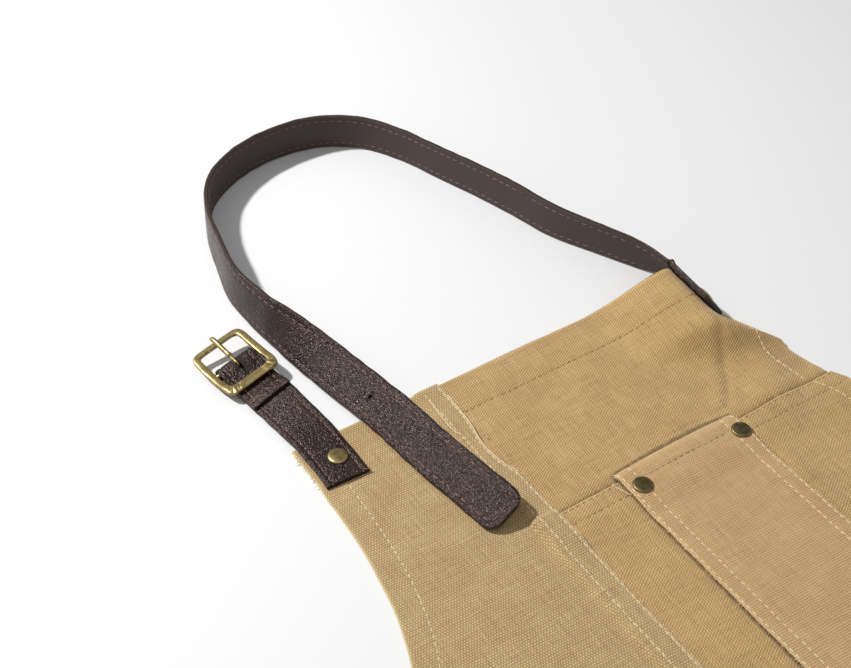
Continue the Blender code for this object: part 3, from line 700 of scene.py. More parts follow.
def brass_material(name, dark, light, rough, hammered):
    """Antique brass: dark in its hollows, bright where it is rubbed."""
    s = Shader(name, Metallic=1.0)
    place = s.add("ShaderNodeTexCoord").outputs["Object"]
    stain = s.noise(place, 420.0, 4.0, 0.6)
    rubbed = s.attribute("wear", "Fac")
    tone = s.math("ADD", s.ramp(stain, 0.35, 0.68, 0.0, 0.75), s.math("MULTIPLY", rubbed, 0.6))
    colour = s.mix(s.ramp(tone, 0.0, 1.0), dark, light)
    scratch = s.noise(s.vector("MULTIPLY", place, (900.0, 160.0, 400.0)), 1.0, 3.0)
    dents = s.cells(place, 620.0, "SMOOTH_F1")
    height = s.math("MULTIPLY_ADD", dents, hammered, s.math("MULTIPLY", scratch, 0.25))
    roughness = s.ramp(stain, 0.3, 0.7, rough + 0.12, rough - 0.06)
    return s.finish(Base_Color=colour, Roughness=roughness, Normal=s.bump(height, 0.00016, 0.7))


# Piece building

def add_object(name, data):
    item = bpy.data.objects.new(name, data)
    bpy.context.scene.collection.objects.link(item)
    return item


def make_piece(name, points, faces, material, slot, attributes=None, node=None, body="apron"):
    """A smooth mesh that rides on a body, and stands for a CAD node if one is named."""
    mesh = bpy.data.meshes.new(name)
    mesh.from_pydata(np.asarray(points).reshape(-1, 3).tolist(), [], faces)
    mesh.validate()
    mesh.shade_smooth()
    mesh.materials.append(material)
    for key, values in (attributes or {}).items():
        values = np.asarray(values, np.float32)
        kind = "FLOAT_VECTOR" if values.ndim == 2 else "FLOAT"
        layer = mesh.attributes.new(key, kind, "POINT")
        layer.data.foreach_set("vector" if values.ndim == 2 else "value", values.ravel())
    item = add_object(name, mesh)
    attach(item, body)
    if node:
        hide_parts(node)
    return item


def lines_with_detail(low, high, step, lines, reach=0.0013, fine=0.0004):
    """Positions from low to high, closer together around some lines."""
    marks = list(np.linspace(low, high, max(2, round((high - low) / step) + 1)))
    for line in lines:
        near = np.arange(line - reach, line + reach + fine / 2, fine)
        marks = [m for m in marks if abs(m - line) > reach or m in (low, high)]
        marks += [m for m in near if low < m < high]
    marks = sorted(marks)
    kept = [marks[0]]
    for mark in marks[1:-1]:
        if mark - kept[-1] > fine * 0.6 and marks[-1] - mark > fine * 0.4:
            kept.append(mark)
    return np.array(kept + [marks[-1]])


EDGE_STEPS = (0.00012, 0.0004, 0.0009)
EDGE_BAND = 0.0012


def edged(marks):
    """Positions with extra ones close to both ends, where the cloth's edge is rounded."""
    low, high = marks[0], marks[-1]
    inner = [m for m in marks if low + EDGE_BAND < m < high - EDGE_BAND]
    start = [low] + [low + step for step in EDGE_STEPS]
    end = [high - step for step in EDGE_STEPS[::-1]] + [high]
    return np.array(start + inner + end)


def sheet_piece(name, us, vs, under, thick, material, slot, node, soft=(1, 1, 1, 1)):
    """Both faces of a cloth panel, joined round a rounded edge.

    us and vs are grids. soft says for the left, right, top and bottom edge whether it is round.
    """
    rows, columns = us.shape
    left = us - us[:, :1]
    right = us[:, -1:] - us
    top = vs[0, 0] - vs
    bottom = vs - vs[-1, 0]
    nearest = np.full(us.shape, 1.0)
    for use, distance in zip(soft, (left, right, top, bottom)):
        if use:
            nearest = np.minimum(nearest, distance)
    round_off = 1.0 - np.clip(nearest / EDGE_RADIUS, 0.0, 1.0)
    full = np.sqrt(np.maximum(1.0 - round_off**2, 0.0))
    low = under(us, vs)
    wall = thick(us, vs)
    middle = low + wall * 0.42
    upper = drape(us, vs, middle + (low + wall - middle) * full)
    lower = drape(us, vs, middle - (middle - low) * full * 0.98)
    index = np.arange(rows * columns).reshape(rows, columns)
    inner = np.zeros_like(index, bool)
    inner[1:-1, 1:-1] = True
    below = index + rows * columns
    # The outer ring of points is shared, so the edge closes without a flat rim.
    below[~inner] = index[~inner]
    faces = []
    for at, order in ((index, (0, 1, 2, 3)), (below, (0, 3, 2, 1))):
        corners = (at[:-1, :-1], at[1:, :-1], at[1:, 1:], at[:-1, 1:])
        faces.append(np.stack([corners[i] for i in order], -1).reshape(-1, 4))
    faces = np.concatenate(faces)
    points = np.concatenate([upper.reshape(-1, 3), lower.reshape(-1, 3)])
    used = np.unique(faces)
    renumber = np.full(len(points), -1)
    renumber[used] = np.arange(len(used))
    flat = np.stack([us * 1000, vs * 1000, np.zeros_like(us)], -1).reshape(-1, 3)
    flat = np.concatenate([flat, flat + (0.0, 0.0, 9.0)])
    wear = ridge(np.minimum(nearest, 0.02), 0.0011).ravel()
    wear = np.concatenate([wear, wear])
    attributes = {"flat": flat[used], "wear": wear[used]}
    faces = renumber[faces].tolist()
    return make_piece(name, points[used], faces, material, slot, attributes, node)


def tubes(paths, radii, sides=6):
    """Points and faces of round threads. paths is threads by points by xyz."""
    paths = np.asarray(paths, float)
    count, length, _ = paths.shape
    tangents = np.gradient(paths, axis=1)
    tangents /= np.linalg.norm(tangents, axis=-1, keepdims=True) + 1e-12
    up = np.array([0.13, 0.21, 1.0])
    aside = np.cross(tangents, up)
    aside /= np.linalg.norm(aside, axis=-1, keepdims=True) + 1e-12
    normals = np.cross(aside, tangents)
    angles = 2 * math.pi * np.arange(sides) / sides
    radii = np.broadcast_to(np.asarray(radii, float), (count, length))
    ring = aside[:, :, None] * np.cos(angles)[None, None, :, None]
    ring = ring + normals[:, :, None] * np.sin(angles)[None, None, :, None]
    points = paths[:, :, None] + ring * radii[:, :, None, None]
    index = np.arange(count * length * sides).reshape(count, length, sides)
    after = np.roll(index, -1, axis=2)
    quads = np.stack([index[:, :-1], index[:, 1:], after[:, 1:], after[:, :-1]], -1)
    faces = quads.reshape(-1, 4).tolist()
    faces += index[:, 0].tolist()
    faces += index[:, -1, ::-1].tolist()
    return points.reshape(-1, 3), faces


STITCH_SHAPE = np.array([0.0, 0.16, 0.5, 0.84, 1.0])
STITCH_RISE = np.array([-1.6, 0.25, 0.65, 0.25, -1.6])
STITCH_GIRTH = np.array([0.6, 0.95, 1.0, 0.95, 0.6])


def stitches(name, place, lines, material, slot, pitch=STITCH_PITCH, length=STITCH_LENGTH,
             thread=THREAD, seed=1, slack=0.0001):
    """Rows of stitches along lines of u, v points, on a surface that place gives."""
    rng = np.random.default_rng(seed)
    paths = []
    for line in lines:
        line = np.asarray(line, float)
        steps = np.linalg.norm(np.diff(line, axis=0), axis=1)
        at = np.concatenate(([0.0], np.cumsum(steps)))
        count = max(1, int((at[-1] - length) / pitch) + 1)
        starts = np.arange(count) * pitch + rng.uniform(-0.04, 0.04, count) * pitch
        s = starts[:, None] + length * (1 + rng.uniform(-0.08, 0.08, count))[:, None] * STITCH_SHAPE
        u = np.interp(s, at, line[:, 0])
        v = np.interp(s, at, line[:, 1])
        along = np.stack([np.gradient(u, axis=1), np.gradient(v, axis=1)], -1)
        along /= np.linalg.norm(along, axis=-1, keepdims=True) + 1e-12
        aside = rng.uniform(-slack, slack, (count, 1)) * np.ones((1, 5))
        aside = aside + rng.uniform(-slack, slack, (count, 1)) * (STITCH_SHAPE - 0.5)
        u = u - along[..., 1] * aside
        v = v + along[..., 0] * aside
        # Some stitches are drawn in tighter than others.
        tight = rng.uniform(0.0, 1.0, (count, 1)) ** 3
        rise = thread * (STITCH_RISE - 0.8 * tight * (STITCH_SHAPE > 0.1) * (STITCH_SHAPE < 0.9))
        paths.append(place(u, v, rise))
    points, faces = tubes(np.concatenate(paths), thread * STITCH_GIRTH)
    return make_piece(name, points, faces, material, slot)


def curve_through(rows, steps):
    """A smooth curve through rows, with so many steps from one row to the next."""
    rows = np.array(rows, dtype=float)
    padded = np.vstack([2 * rows[0] - rows[1], rows, 2 * rows[-1] - rows[-2]])
    points = []
    for i in range(len(rows) - 1):
        p0, p1, p2, p3 = padded[i : i + 4]
        for t in np.arange(steps) / steps:
            points.append(p1 + (p2 - p0) * t / 2 + (2 * p0 - 5 * p1 + 4 * p2 - p3) * t**2 / 2
                          + (3 * p1 - p0 - 3 * p2 + p3) * t**3 / 2)
    points.append(rows[-1])
    return np.array(points)


def strands(name, paths, material, slot, thread):
    """Loose threads through their own points."""
    points = []
    faces = []
    for path in paths:
        fine = curve_through(path, 6)
        taper = np.full(len(fine), thread)
        taper[0] = taper[-1] = thread * 0.4
        more, more_faces = tubes(fine[None], taper, 5)
        faces += [[i + len(points) for i in face] for face in more_faces]
        points += more.tolist()
    return make_piece(name, points, faces, material, slot)


# Materials

# The twill gets painted shade along the yoke seam and round the pocket.
TWILL = cloth_material("twill_cloth", rgb(0.27, 0.160, 0.057), rgb(0.95, 0.64, 0.280), twill_weave,
                       twill_painted_shade)
DUCK = cloth_material("duck_cloth", rgb(0.33, 0.180, 0.064), rgb(1.0, 0.77, 0.400),
                      plain_weave((0.688, -0.065), (0.032, 0.365)))
POCKET = cloth_material("pocket_cloth_weave", rgb(0.47, 0.250, 0.098), rgb(1.0, 0.73, 0.365),
                        plain_weave((0.790, 0.010), (0.020, 0.380)))
PALE_THREAD = thread_material("pale_thread", rgb(0.80, 0.60, 0.34), rgb(1.0, 0.86, 0.60))
TAN_THREAD = thread_material("tan_thread", rgb(0.31, 0.195, 0.085), rgb(0.58, 0.39, 0.180))
BROWN_THREAD = thread_material("brown_thread", rgb(0.13, 0.060, 0.044), rgb(0.36, 0.200, 0.150))
LEATHER = leather_material()
BRASS = brass_material("antique_brass", rgb(0.16, 0.115, 0.040), rgb(0.62, 0.49, 0.22), 0.36, 0.5)
DARK_BRASS = brass_material("dark_brass", rgb(0.085, 0.068, 0.030), rgb(0.30, 0.245, 0.115), 0.40, 0.4)


# Cloth panels

def grid(rows, columns_of):
    """u and v grids from the rows' v and the columns' u at each of them."""
    us = np.array([columns_of(v) for v in rows])
    return us, np.broadcast_to(np.asarray(rows)[:, None], us.shape).copy()


def edge_wobble(v, seed, size=0.0005):
    return size * noise(v / 0.011, 0.5, seed) + size * 1.2 * noise(v / 0.034, 2.5, seed + 1)


def right_part(v, left_marks, middle_count, right_marks):
    """u across a panel, from fixed distances at its left and from its right edge."""
    left = -SIDE_SEAM - SEAM_LAP
    edge = half_width(v)
    head = left + left_marks
    tail = edge - right_marks[::-1]
    middle = head[-1] + (tail[0] - head[-1]) * np.arange(1, middle_count) / middle_count
    return np.concatenate([head, middle, tail])


RIGHT_MARKS = edged(lines_with_detail(0.0, 0.090, 0.0015, [HEM_SIDE]))[:-3]
LEFT_MARKS = np.linspace(0.0, 0.020, 8)


def front_grid(rows, middle_count):
    """The grid of a panel that ends at the apron's right edge."""
    us, vs = grid(rows, lambda v: right_part(v, LEFT_MARKS, middle_count, RIGHT_MARKS))
    share = smooth((us - us[:, -1:] + 0.05) / 0.05)
    return us + share * (edge_wobble(vs, 31) + right_edge(vs) - half_width(vs)), vs


def make_yoke():
    rows = edged(lines_with_detail(YOKE_SEAM - SEAM_LAP, BIB_HEIGHT, 0.0014, [BIB_HEIGHT - HEM_TOP]))
    us, vs = front_grid(rows[::-1], 56)
    lift = noise(us / 0.02, 0.5, 33) * 0.0004 + noise(us / 0.055, 1.5, 34) * 0.0006
    vs_wavy = vs + lift * smooth((vs - BIB_HEIGHT + 0.03) / 0.03)
    return sheet_piece("yoke_cloth", us, vs_wavy, yoke_under, yoke_thick, TWILL, "twill",
                       "yoke_panel")


def skirt_rows(top, lines, bottom=-SKIRT_LENGTH):
    fine = lines_with_detail(0.055, top, 0.0016, lines)
    coarse = lines_with_detail(bottom, 0.050, 0.006, [bottom + HEM_TOP])
    return edged(np.concatenate([coarse, fine]))[::-1]


def make_front():
    rows = skirt_rows(YOKE_SEAM, [YOKE_SEAM - SEAM_ROW, YOKE_SEAM - YOKE_SECOND_ROW,
                                  YOKE_SEAM - SEAM_LAP - STEP_RUN / 2])
    us, vs = front_grid(rows, 50)
    return sheet_piece("front_cloth", us, vs, front_under, front_thick, TWILL, "twill",
                       "front_panel")


def make_side():
    seam = [SEAM_ROW, SEAM_SECOND_ROW, SEAM_LAP + STEP_RUN / 2]
    seam_marks = edged(lines_with_detail(0.0, 0.024, 0.0014, seam))[:-3]
    edge_marks = edged(lines_with_detail(0.0, 0.022, 0.0015, [HEM_SIDE]))[:-3]
    rows = skirt_rows(BIB_HEIGHT, [YOKE_SEAM + STEP_RUN / 2, YOKE_SEAM - SEAM_LAP - STEP_RUN / 2])

    def columns(v):
        head = -half_width(v) + edge_marks
        tail = -SIDE_SEAM - seam_marks[::-1]
        middle = head[-1] + (tail[0] - head[-1]) * np.arange(1, 44) / 44
        return np.concatenate([head, middle, tail])

    us, vs = grid(rows, columns)
    at_seam = smooth((us - us[:, -1:] + 0.012) / 0.012)
    us = us + at_seam * (edge_wobble(vs, 35, 0.0006) + SIDE_SEAM + seam_edge(vs))
    at_edge = smooth((us[:, :1] + 0.04 - us) / 0.04)
    us = us + at_edge * edge_wobble(vs, 37)
    return sheet_piece("side_cloth", us, vs, side_under, side_thick, DUCK, "duck", "side_panel")


def make_pocket():
    columns = edged(lines_with_detail(POCKET_LEFT, POCKET_RIGHT, 0.0015, POCKET_SIDE_ROWS))
    lines = [POCKET_TOP - POCKET_HEM, POCKET_BOTTOM + POCKET_ROW, POCKET_BOTTOM + POCKET_SECOND_ROW]
    lines += [YOKE_SEAM + STEP_RUN / 2, YOKE_SEAM - SEAM_LAP - STEP_RUN / 2]
    rows = edged(lines_with_detail(POCKET_BOTTOM, POCKET_TOP, 0.0018, lines))[::-1]
    us, vs = grid(rows, lambda v: columns)
    share = np.abs(us - POCKET_MIDDLE) / (POCKET_WIDTH / 2)
    us = us + share**4 * edge_wobble(vs, 39, 0.0004)
    return sheet_piece("pocket_cloth_panel", us, vs, pocket_under, pocket_thick, POCKET,
                       "pocket_cloth", "chest_pocket")


def make_tie(name, sign):
    middle = sign * (APRON_WIDTH / 2 - TIE_FROM_SIDE)
    across = [middle - TIE_WIDTH / 2 + TIE_ROW, middle + TIE_WIDTH / 2 - TIE_ROW]
    columns = edged(lines_with_detail(middle - TIE_WIDTH / 2, middle + TIE_WIDTH / 2, 0.002, across))
    rows = edged(np.linspace(-TIE_BELOW_WAIST - TIE_LENGTH, -TIE_BELOW_WAIST, 130))[::-1]
    us, vs = grid(rows, lambda v: columns)
    us = us + 0.0012 * noise(vs / 0.05, 0.5, 41 + sign) + 0.0004 * noise(vs / 0.012, 1.5, 43 + sign)

    def thick(u, v):
        side = TIE_WIDTH / 2 - np.abs(u - middle)
        return CANVAS - 0.0002 + sewn(side - TIE_ROW, v, 45 + sign, size=0.0003)

    def under(u, v):
        return np.full_like(u, LAYER)

    item = sheet_piece(f"tie_cloth_{name}", us, vs, under, thick, TWILL, "twill",
                       f"waist_tie_{name}")
    return item, on(under, thick), middle


# Strap and tab

def bare_lie(u, v):
    """As lie, without the ripples, so that the strap has the CAD's place."""
    point = lie(u, v)
    point[..., 2] -= ripple(np.asarray(u, float), np.asarray(v, float))
    return point


def unit(vector):
    return vector / np.linalg.norm(vector)


def strap_seat_rows():
    rows = []
    for step in range(7):
        v = BIB_HEIGHT - STRAP_SEAT + (STRAP_SEAT + CANVAS) * step / 6
        edge = float(half_width(v))
        middle = edge - STRAP_WIDTH / 2
        low = bare_lie(edge - CORNER_MARGIN * 0.2, v)
        high = bare_lie(edge - CORNER_MARGIN * 0.5, v)
        width = unit(high - low)
        along = bare_lie(middle, v + CANVAS) - bare_lie(middle, v - CANVAS)
        normal = unit(np.cross(along, width))
        centre = low + width * (STRAP_FROM_EDGE + STRAP_WIDTH / 2 - CORNER_MARGIN * 0.2)
        centre = centre + normal * (CANVAS + STRAP_STANDS_OFF + STRAP_LEATHER / 2)
        rows.append((*centre, *width))
    return rows


def floor_under_strap(beyond):
    return LAYER * (1.0 - smooth((beyond + STEP_RUN) / (4 * STEP_RUN)))


def strap_free_rows():
    feet = [(across * LOOP_WIDTH, beyond * LOOP_REACH) for across, beyond, _ in STRAP_ROUTE]
    headings = np.gradient(np.array(feet), axis=0)
    rows = []
    for (x, beyond), heading, (_, _, lean) in zip(feet, headings, STRAP_ROUTE):
        inward = unit(np.array([-heading[1], heading[0], 0.0]))
        lean = math.radians(lean)
        width = inward * math.cos(lean) + np.array([0.0, 0.0, math.sin(lean)])
        lift = floor_under_strap(beyond) + GAP + STRAP_LEATHER / 2 * math.cos(lean)
        centre = np.array([x, BIB_HEIGHT + beyond, lift]) + width * STRAP_WIDTH / 2
        rows.append((*centre, *width))
    return rows


class Band:
    """A flat strip along a line of centres: turns distances along and across into points."""

    def __init__(self, rows):
        centres = np.asarray(rows)[:, :3]
        widths = np.asarray(rows)[:, 3:]
        steps = np.linalg.norm(np.diff(centres, axis=0), axis=1)
        rough = np.concatenate(([0.0], np.cumsum(steps)))
        self.length = rough[-1]
        self.at = np.linspace(0.0, self.length, 1200)
        self.centres = np.stack([np.interp(self.at, rough, centres[:, k]) for k in range(3)], -1)
        widths = np.stack([np.interp(self.at, rough, widths[:, k]) for k in range(3)], -1)
        tangents = np.gradient(self.centres, axis=0)
        for _ in range(3):
            tangents[1:-1] = (tangents[:-2] + 2 * tangents[1:-1] + tangents[2:]) / 4
        tangents /= np.linalg.norm(tangents, axis=1, keepdims=True)
        widths -= tangents * (widths * tangents).sum(1, keepdims=True)
        self.widths = widths / np.linalg.norm(widths, axis=1, keepdims=True)
        self.normals = np.cross(tangents, self.widths)

    def point(self, along, across, height):
        along = np.asarray(along, float)
        pick = [np.interp(along, self.at, table[:, k])
                for table in (self.centres, self.widths, self.normals) for k in range(3)]
        centre, width, normal = (np.stack(pick[k : k + 3], -1) for k in (0, 3, 6))
        return centre + width * np.asarray(across)[..., None] + normal * np.asarray(height)[..., None]


def band_section(half, thick, row):
    """Across and height of a strip's section, once round, finer at its stitch rows."""
    marks = [half - 0.0011, half - 0.0020, half * 0.45, half * 0.22]
    marks += [row + 0.0009, row + 0.0004, row, row - 0.0004, row - 0.0009]
    marks = sorted(set(round(m, 6) for m in marks), reverse=True)
    # The edge shows two layers with a seam between them.
    corner = [(half - 0.00022, thick * 0.02), (half, thick * 0.16), (half - 0.0001, thick * 0.30)]
    corner.append((half - 0.0005, thick * 0.46))
    quarter = corner + [(m, thick / 2) for m in marks]
    upper = quarter + [(0.0, thick / 2)] + [(-x, y) for x, y in quarter[::-1]]
    return np.array(upper + [(x, -y) for x, y in upper[::-1]])


def leather_strip(name, band, stations, half_at, thick, row, node, grain_sign, puff):
    """A stitched two-layer strip with closed ends. row is how far from its middle the stitches are."""
    half = half_at(stations).max()
    section = band_section(half, thick, row)
    along, x = np.meshgrid(stations, section[:, 0], indexing="ij")
    y = np.broadcast_to(section[:, 1], x.shape)
    narrow = half_at(stations)[:, None]
    squeeze = np.clip(np.abs(x) - (half - 0.009), 0.0, None) / 0.009
    x = x - np.sign(x) * squeeze * (half - narrow)
    face = np.abs(section[:, 1]) > thick * 0.49
    beat = 0.45 + 0.55 * np.clip(np.cos(2 * math.pi * along / STRAP_PITCH), 0, 1) ** 2
    dip = ridge(np.abs(x) - row, 0.00075) * beat
    bulge = puff * (1 - np.clip(np.abs(x) / (half * 0.98), 0, 1) ** 6)
    rough = 0.00007 * noise(along / 0.004, x / 0.004, 51) + 0.00010 * noise(along / 0.017, x / 0.01, 52)
    height = np.abs(y) + np.where(face[None, :], bulge + rough - 0.00042 * dip, 0.0)
    y = np.sign(y) * height
    wobble = 0.00022 * noise(along / 0.006, np.sign(x) * 3.0, 53) * (np.abs(x) > half * 0.8)
    x = x + np.sign(x) * wobble
    points = band.point(along, x, y)
    count = len(section)
    index = np.arange(len(stations) * count).reshape(len(stations), count)
    after = np.roll(index, -1, axis=1)
    quads = np.stack([index[:-1], after[:-1], after[1:], index[1:]], -1).reshape(-1, 4)
    faces = quads.tolist()
    # Each end is closed by quads between the two faces of the strip.
    for ring, last in ((index[0], False), (index[-1], True)):
        pairs = [(int(ring[i]), int(ring[-i - 1])) for i in range(count // 2)]
        for (a, b), (c, d) in zip(pairs[:-1], pairs[1:]):
            faces.append([a, c, d, b] if last else [b, d, c, a])
    side = np.where(np.sign(y) == -grain_sign, 0.0, 1.0)
    edge = np.where(np.abs(section[:, 1]) < thick * 0.35, 1.0, 0.0)[None, :] * np.ones_like(x)
    flat = np.stack([along * 1000, x * 1000, np.sign(y) * 20], -1)
    attributes = {"flat": flat.reshape(-1, 3), "grain": side.ravel(), "edge": edge.ravel()}
    return make_piece(name, points, faces, LEATHER, "leather", attributes, node)


def pierce(item, band, at, radius, number):
    """Cut a round hole through the middle of a strip."""
    centre = band.point(at, 0.0, 0.0)
    normal = unit(band.point(at, 0.0, 1.0) - centre)
    sides = 20
    angles = 2 * math.pi * np.arange(sides) / sides
    turn = Vector(normal).to_track_quat("Z", "Y").to_matrix()
    points = [Vector(centre) + turn @ Vector((radius * math.cos(a), radius * math.sin(a), z))
              for z in (-0.006, 0.006) for a in angles]
    faces = [(i, (i + 1) % sides, sides + (i + 1) % sides, sides + i) for i in range(sides)]
    faces += [tuple(range(sides))[::-1], tuple(range(sides, 2 * sides))]
    cut(item, f"hole_{number}", points, faces)


def cut(item, name, points, faces):
    """Take a closed shape away from an item."""
    mesh = bpy.data.meshes.new(name)
    mesh.from_pydata(points, [], faces)
    cutter = add_object(name, mesh)
    modifier = item.modifiers.new(name, "BOOLEAN")
    modifier.operation = "DIFFERENCE"
    modifier.object = cutter
    modifier.solver = "MANIFOLD"
    apply_modifiers(item)
    bpy.data.objects.remove(cutter, do_unlink=True)


def apply_modifiers(item):
    """Keep what an item's modifiers make as its own mesh."""
    bpy.context.view_layer.update()
    shown = item.evaluated_get(bpy.context.evaluated_depsgraph_get())
    mesh = bpy.data.meshes.new_from_object(shown)
    material = item.data.materials[0]
    mesh.materials.clear()
    mesh.materials.append(material)
    mesh.polygons.foreach_set("material_index", [0] * len(mesh.polygons))
    item.modifiers.clear()
    item.data = mesh


def strap_half(from_tip):
    inside = np.maximum(STRAP_TIP_RADIUS - from_tip, 0.0)
    return STRAP_WIDTH / 2 - STRAP_TIP_RADIUS + np.sqrt(
        np.maximum(STRAP_TIP_RADIUS**2 - inside**2, 0.0))


def make_strap():
    seat = strap_seat_rows()
    free = curve_through([seat[-2], seat[-1], *strap_free_rows()], 14)
    band = Band(np.vstack([seat[:-2], free]))
    stations = list(np.arange(0.0, band.length - STRAP_TIP_RADIUS, 0.00105))
    tip = band.length - STRAP_TIP_RADIUS * np.array([1, 0.8, 0.6, 0.45, 0.3, 0.2, 0.12, 0.06, 0.02, 0])
    stations = np.array(stations + list(tip))
    item = leather_strip("strap_leather_band", band, stations,
                         lambda s: strap_half(band.length - s), STRAP_LEATHER,
                         STRAP_WIDTH / 2 - STRAP_ROW, "neck_strap", 1.0, STRAP_PUFF)
    for number, from_tip in enumerate(STRAP_HOLES_FROM_TIP, 1):
        pierce(item, band, band.length - from_tip, STRAP_HOLE_RADIUS, number)
    return band


def strap_rows(band):
    """Lines of along and across for the strap's stitches, round its tip."""
    across = STRAP_WIDTH / 2 - STRAP_ROW
    end = band.length - STRAP_ROW
    corner = STRAP_TIP_RADIUS - STRAP_ROW
    line = [(0.004, -across), (end - corner, -across)]
    for turn in np.linspace(-90, 0, 5)[1:]:
        angle = math.radians(turn)
        line.append((end - corner + corner * math.cos(angle),
                     -across + corner + corner * math.sin(angle)))
    return [line + [(a, -c) for a, c in line[::-1]]]


def buckle_place():
    x = -BIB_TOP_WIDTH / 2 + BUCKLE_INSET
    at = Matrix.Translation((x, BIB_HEIGHT + BUCKLE_REACH, BUCKLE_LIFT))
    turn = Matrix.Rotation(BUCKLE_TURN, 4, "Z")
    tilt = Matrix.Rotation(-BUCKLE_TILT, 4, "Y")
    return at @ turn @ tilt @ Matrix.Rotation(BUCKLE_PITCH, 4, "X")


def tab_rows():
    """The tab's centre line and width directions, and where its fold-back starts and ends."""
    rows = []
    for along, across, lift, tilt in TAB_ROUTE:
        tilt = math.radians(tilt)
        x = -BIB_TOP_WIDTH / 2 + across * TAB_WIDTH
        centre = (x, BIB_HEIGHT + along * BUCKLE_REACH, lift * BUCKLE_LIFT)
        turn = BUCKLE_TURN * float(smooth(0.5 + along))
        width = (math.cos(tilt) * math.cos(turn), math.cos(tilt) * math.sin(turn), math.sin(tilt))
        rows.append((*centre, *width))
    place = buckle_place()
    fold = TAB_FOLD_RADIUS
    bar_axis = place.to_3x3() @ Vector((1.0, 0.0, 0.0))
    for y, sink in ((-1.16 * FRAME_HEEL, GAP), (-0.8 * FRAME_HEEL, GAP), (-0.3 * FRAME_HEEL, 0.0)):
        rows.append((*(place @ Vector((0.0, y, -fold - sink))), *bar_axis))
    rows.append((*(place @ Vector((0.0, 0.0, -fold))), *bar_axis))
    lower = curve_through(rows, 10)
    rows = [tuple(row) for row in lower]
    for step in range(1, 24):
        angle = -math.pi / 2 + math.pi * step / 24
        point = place @ Vector((0.0, fold * math.cos(angle), fold * math.sin(angle)))
        rows.append((*point, *bar_axis))
    tangents = np.gradient(lower[:, :3], axis=0)
    steps = np.linalg.norm(np.diff(lower[::-1, :3], axis=0), axis=1)
    back = np.concatenate(([0.0], np.cumsum(steps)))
    for i, run in enumerate(back):
        if run <= TAB_FOLD_BACK:
            settle = float(smooth(run / (FRAME_HEEL - HEEL_BAR)))
            layer = TAB_LEATHER + GAP
            rise = 2 * fold + (layer - 2 * fold) * settle
            normal = unit(np.cross(tangents[-1 - i], lower[-1 - i, 3:]))
            rows.append((*(lower[-1 - i, :3] - normal * rise), *lower[-1 - i, 3:]))
    return np.array(rows)


def make_tab():
    rows = tab_rows()
    band = Band(rows)
    stations = np.linspace(0.0, band.length, 190)
    item = leather_strip("tab_leather_band", band, stations,
                         lambda s: np.full_like(s, TAB_WIDTH / 2), TAB_LEATHER,
                         TAB_WIDTH / 2 - TAB_ROW, "buckle_tab", 0.0, TAB_PUFF)
    half = PRONG_RADIUS + SLOT_PLAY
    far = 3 * TAB_FOLD_RADIUS
    corners = [buckle_place() @ Vector((x, y, z))
               for x in (-half, half) for y in (-SLOT_LENGTH, far) for z in (-far, far)]
    faces = [(0, 1, 3, 2), (4, 6, 7, 5), (0, 4, 5, 1), (2, 3, 7, 6), (0, 2, 6, 4), (1, 5, 7, 3)]
    cut(item, "slot", corners, faces)
    return band


# Metal

def turned(name, profile, sides, material, wear, place, node=None, body="apron"):
    """A brass solid of revolution from (radius, height) pairs, closed at both ends."""
    angles = 2 * math.pi * np.arange(sides) / sides
    points = [tuple(place @ Vector((r * math.cos(a), r * math.sin(a), z)))
              for r, z in profile for a in angles]
    faces = []
    for row in range(len(profile) - 1):
        for side in range(sides):
            a, b = row * sides + side, row * sides + (side + 1) % sides
            faces.append([a, b, b + sides, a + sides])
    faces.append(list(range(sides))[::-1])
    faces.append(list(range((len(profile) - 1) * sides, len(profile) * sides)))
    attributes = {"wear": np.repeat(wear, sides)}
    return make_piece(name, points, faces, material, "brass", attributes, node, body)


CAP_PROFILE = (
    # share of the cap's radius, share of its rise, rubbed
    (0.97, 0.00, 0.3),
    (1.00, 0.12, 0.7),
    (1.00, 0.30, 1.0),
    (0.975, 0.45, 1.0),
    (0.93, 0.58, 0.9),
    (0.86, 0.66, 0.5),
    (0.74, 0.74, 0.25),
    (0.55, 0.82, 0.15),
    (0.33, 0.87, 0.12),
    (0.10, 0.89, 0.12),
    (0.01, 0.89, 0.12),
)


def make_rivet(name, seat, normal, depth, material, node):
    place = Matrix.Translation(Vector(seat))
    place = place @ Vector(normal).to_track_quat("Z", "Y").to_matrix().to_4x4()
    profile = [(0.0004, -depth), (SHANK_RADIUS, -depth), (SHANK_RADIUS, GAP)]
    wear = [0.0, 0.0, 0.0]
    for share, rise, rubbed in CAP_PROFILE:
        profile.append((share * RIVET_CAP_RADIUS, GAP * 0.4 + rise * RIVET_CAP_RISE * 1.15))
        wear.append(rubbed)
    return turned(name, profile, 48, material, wear, place, node)


def rounded(angle, half_x, low_y, high_y, squareness):
    """A rectangle with rounded corners, from angles round its middle."""
    cos = np.cos(angle)
    sin = np.sin(angle)
    x = half_x * np.sign(cos) * np.abs(cos) ** (2 / squareness)
    middle = (low_y + high_y) / 2
    y = middle + (high_y - low_y) / 2 * np.sign(sin) * np.abs(sin) ** (2 / squareness)
    return x, y


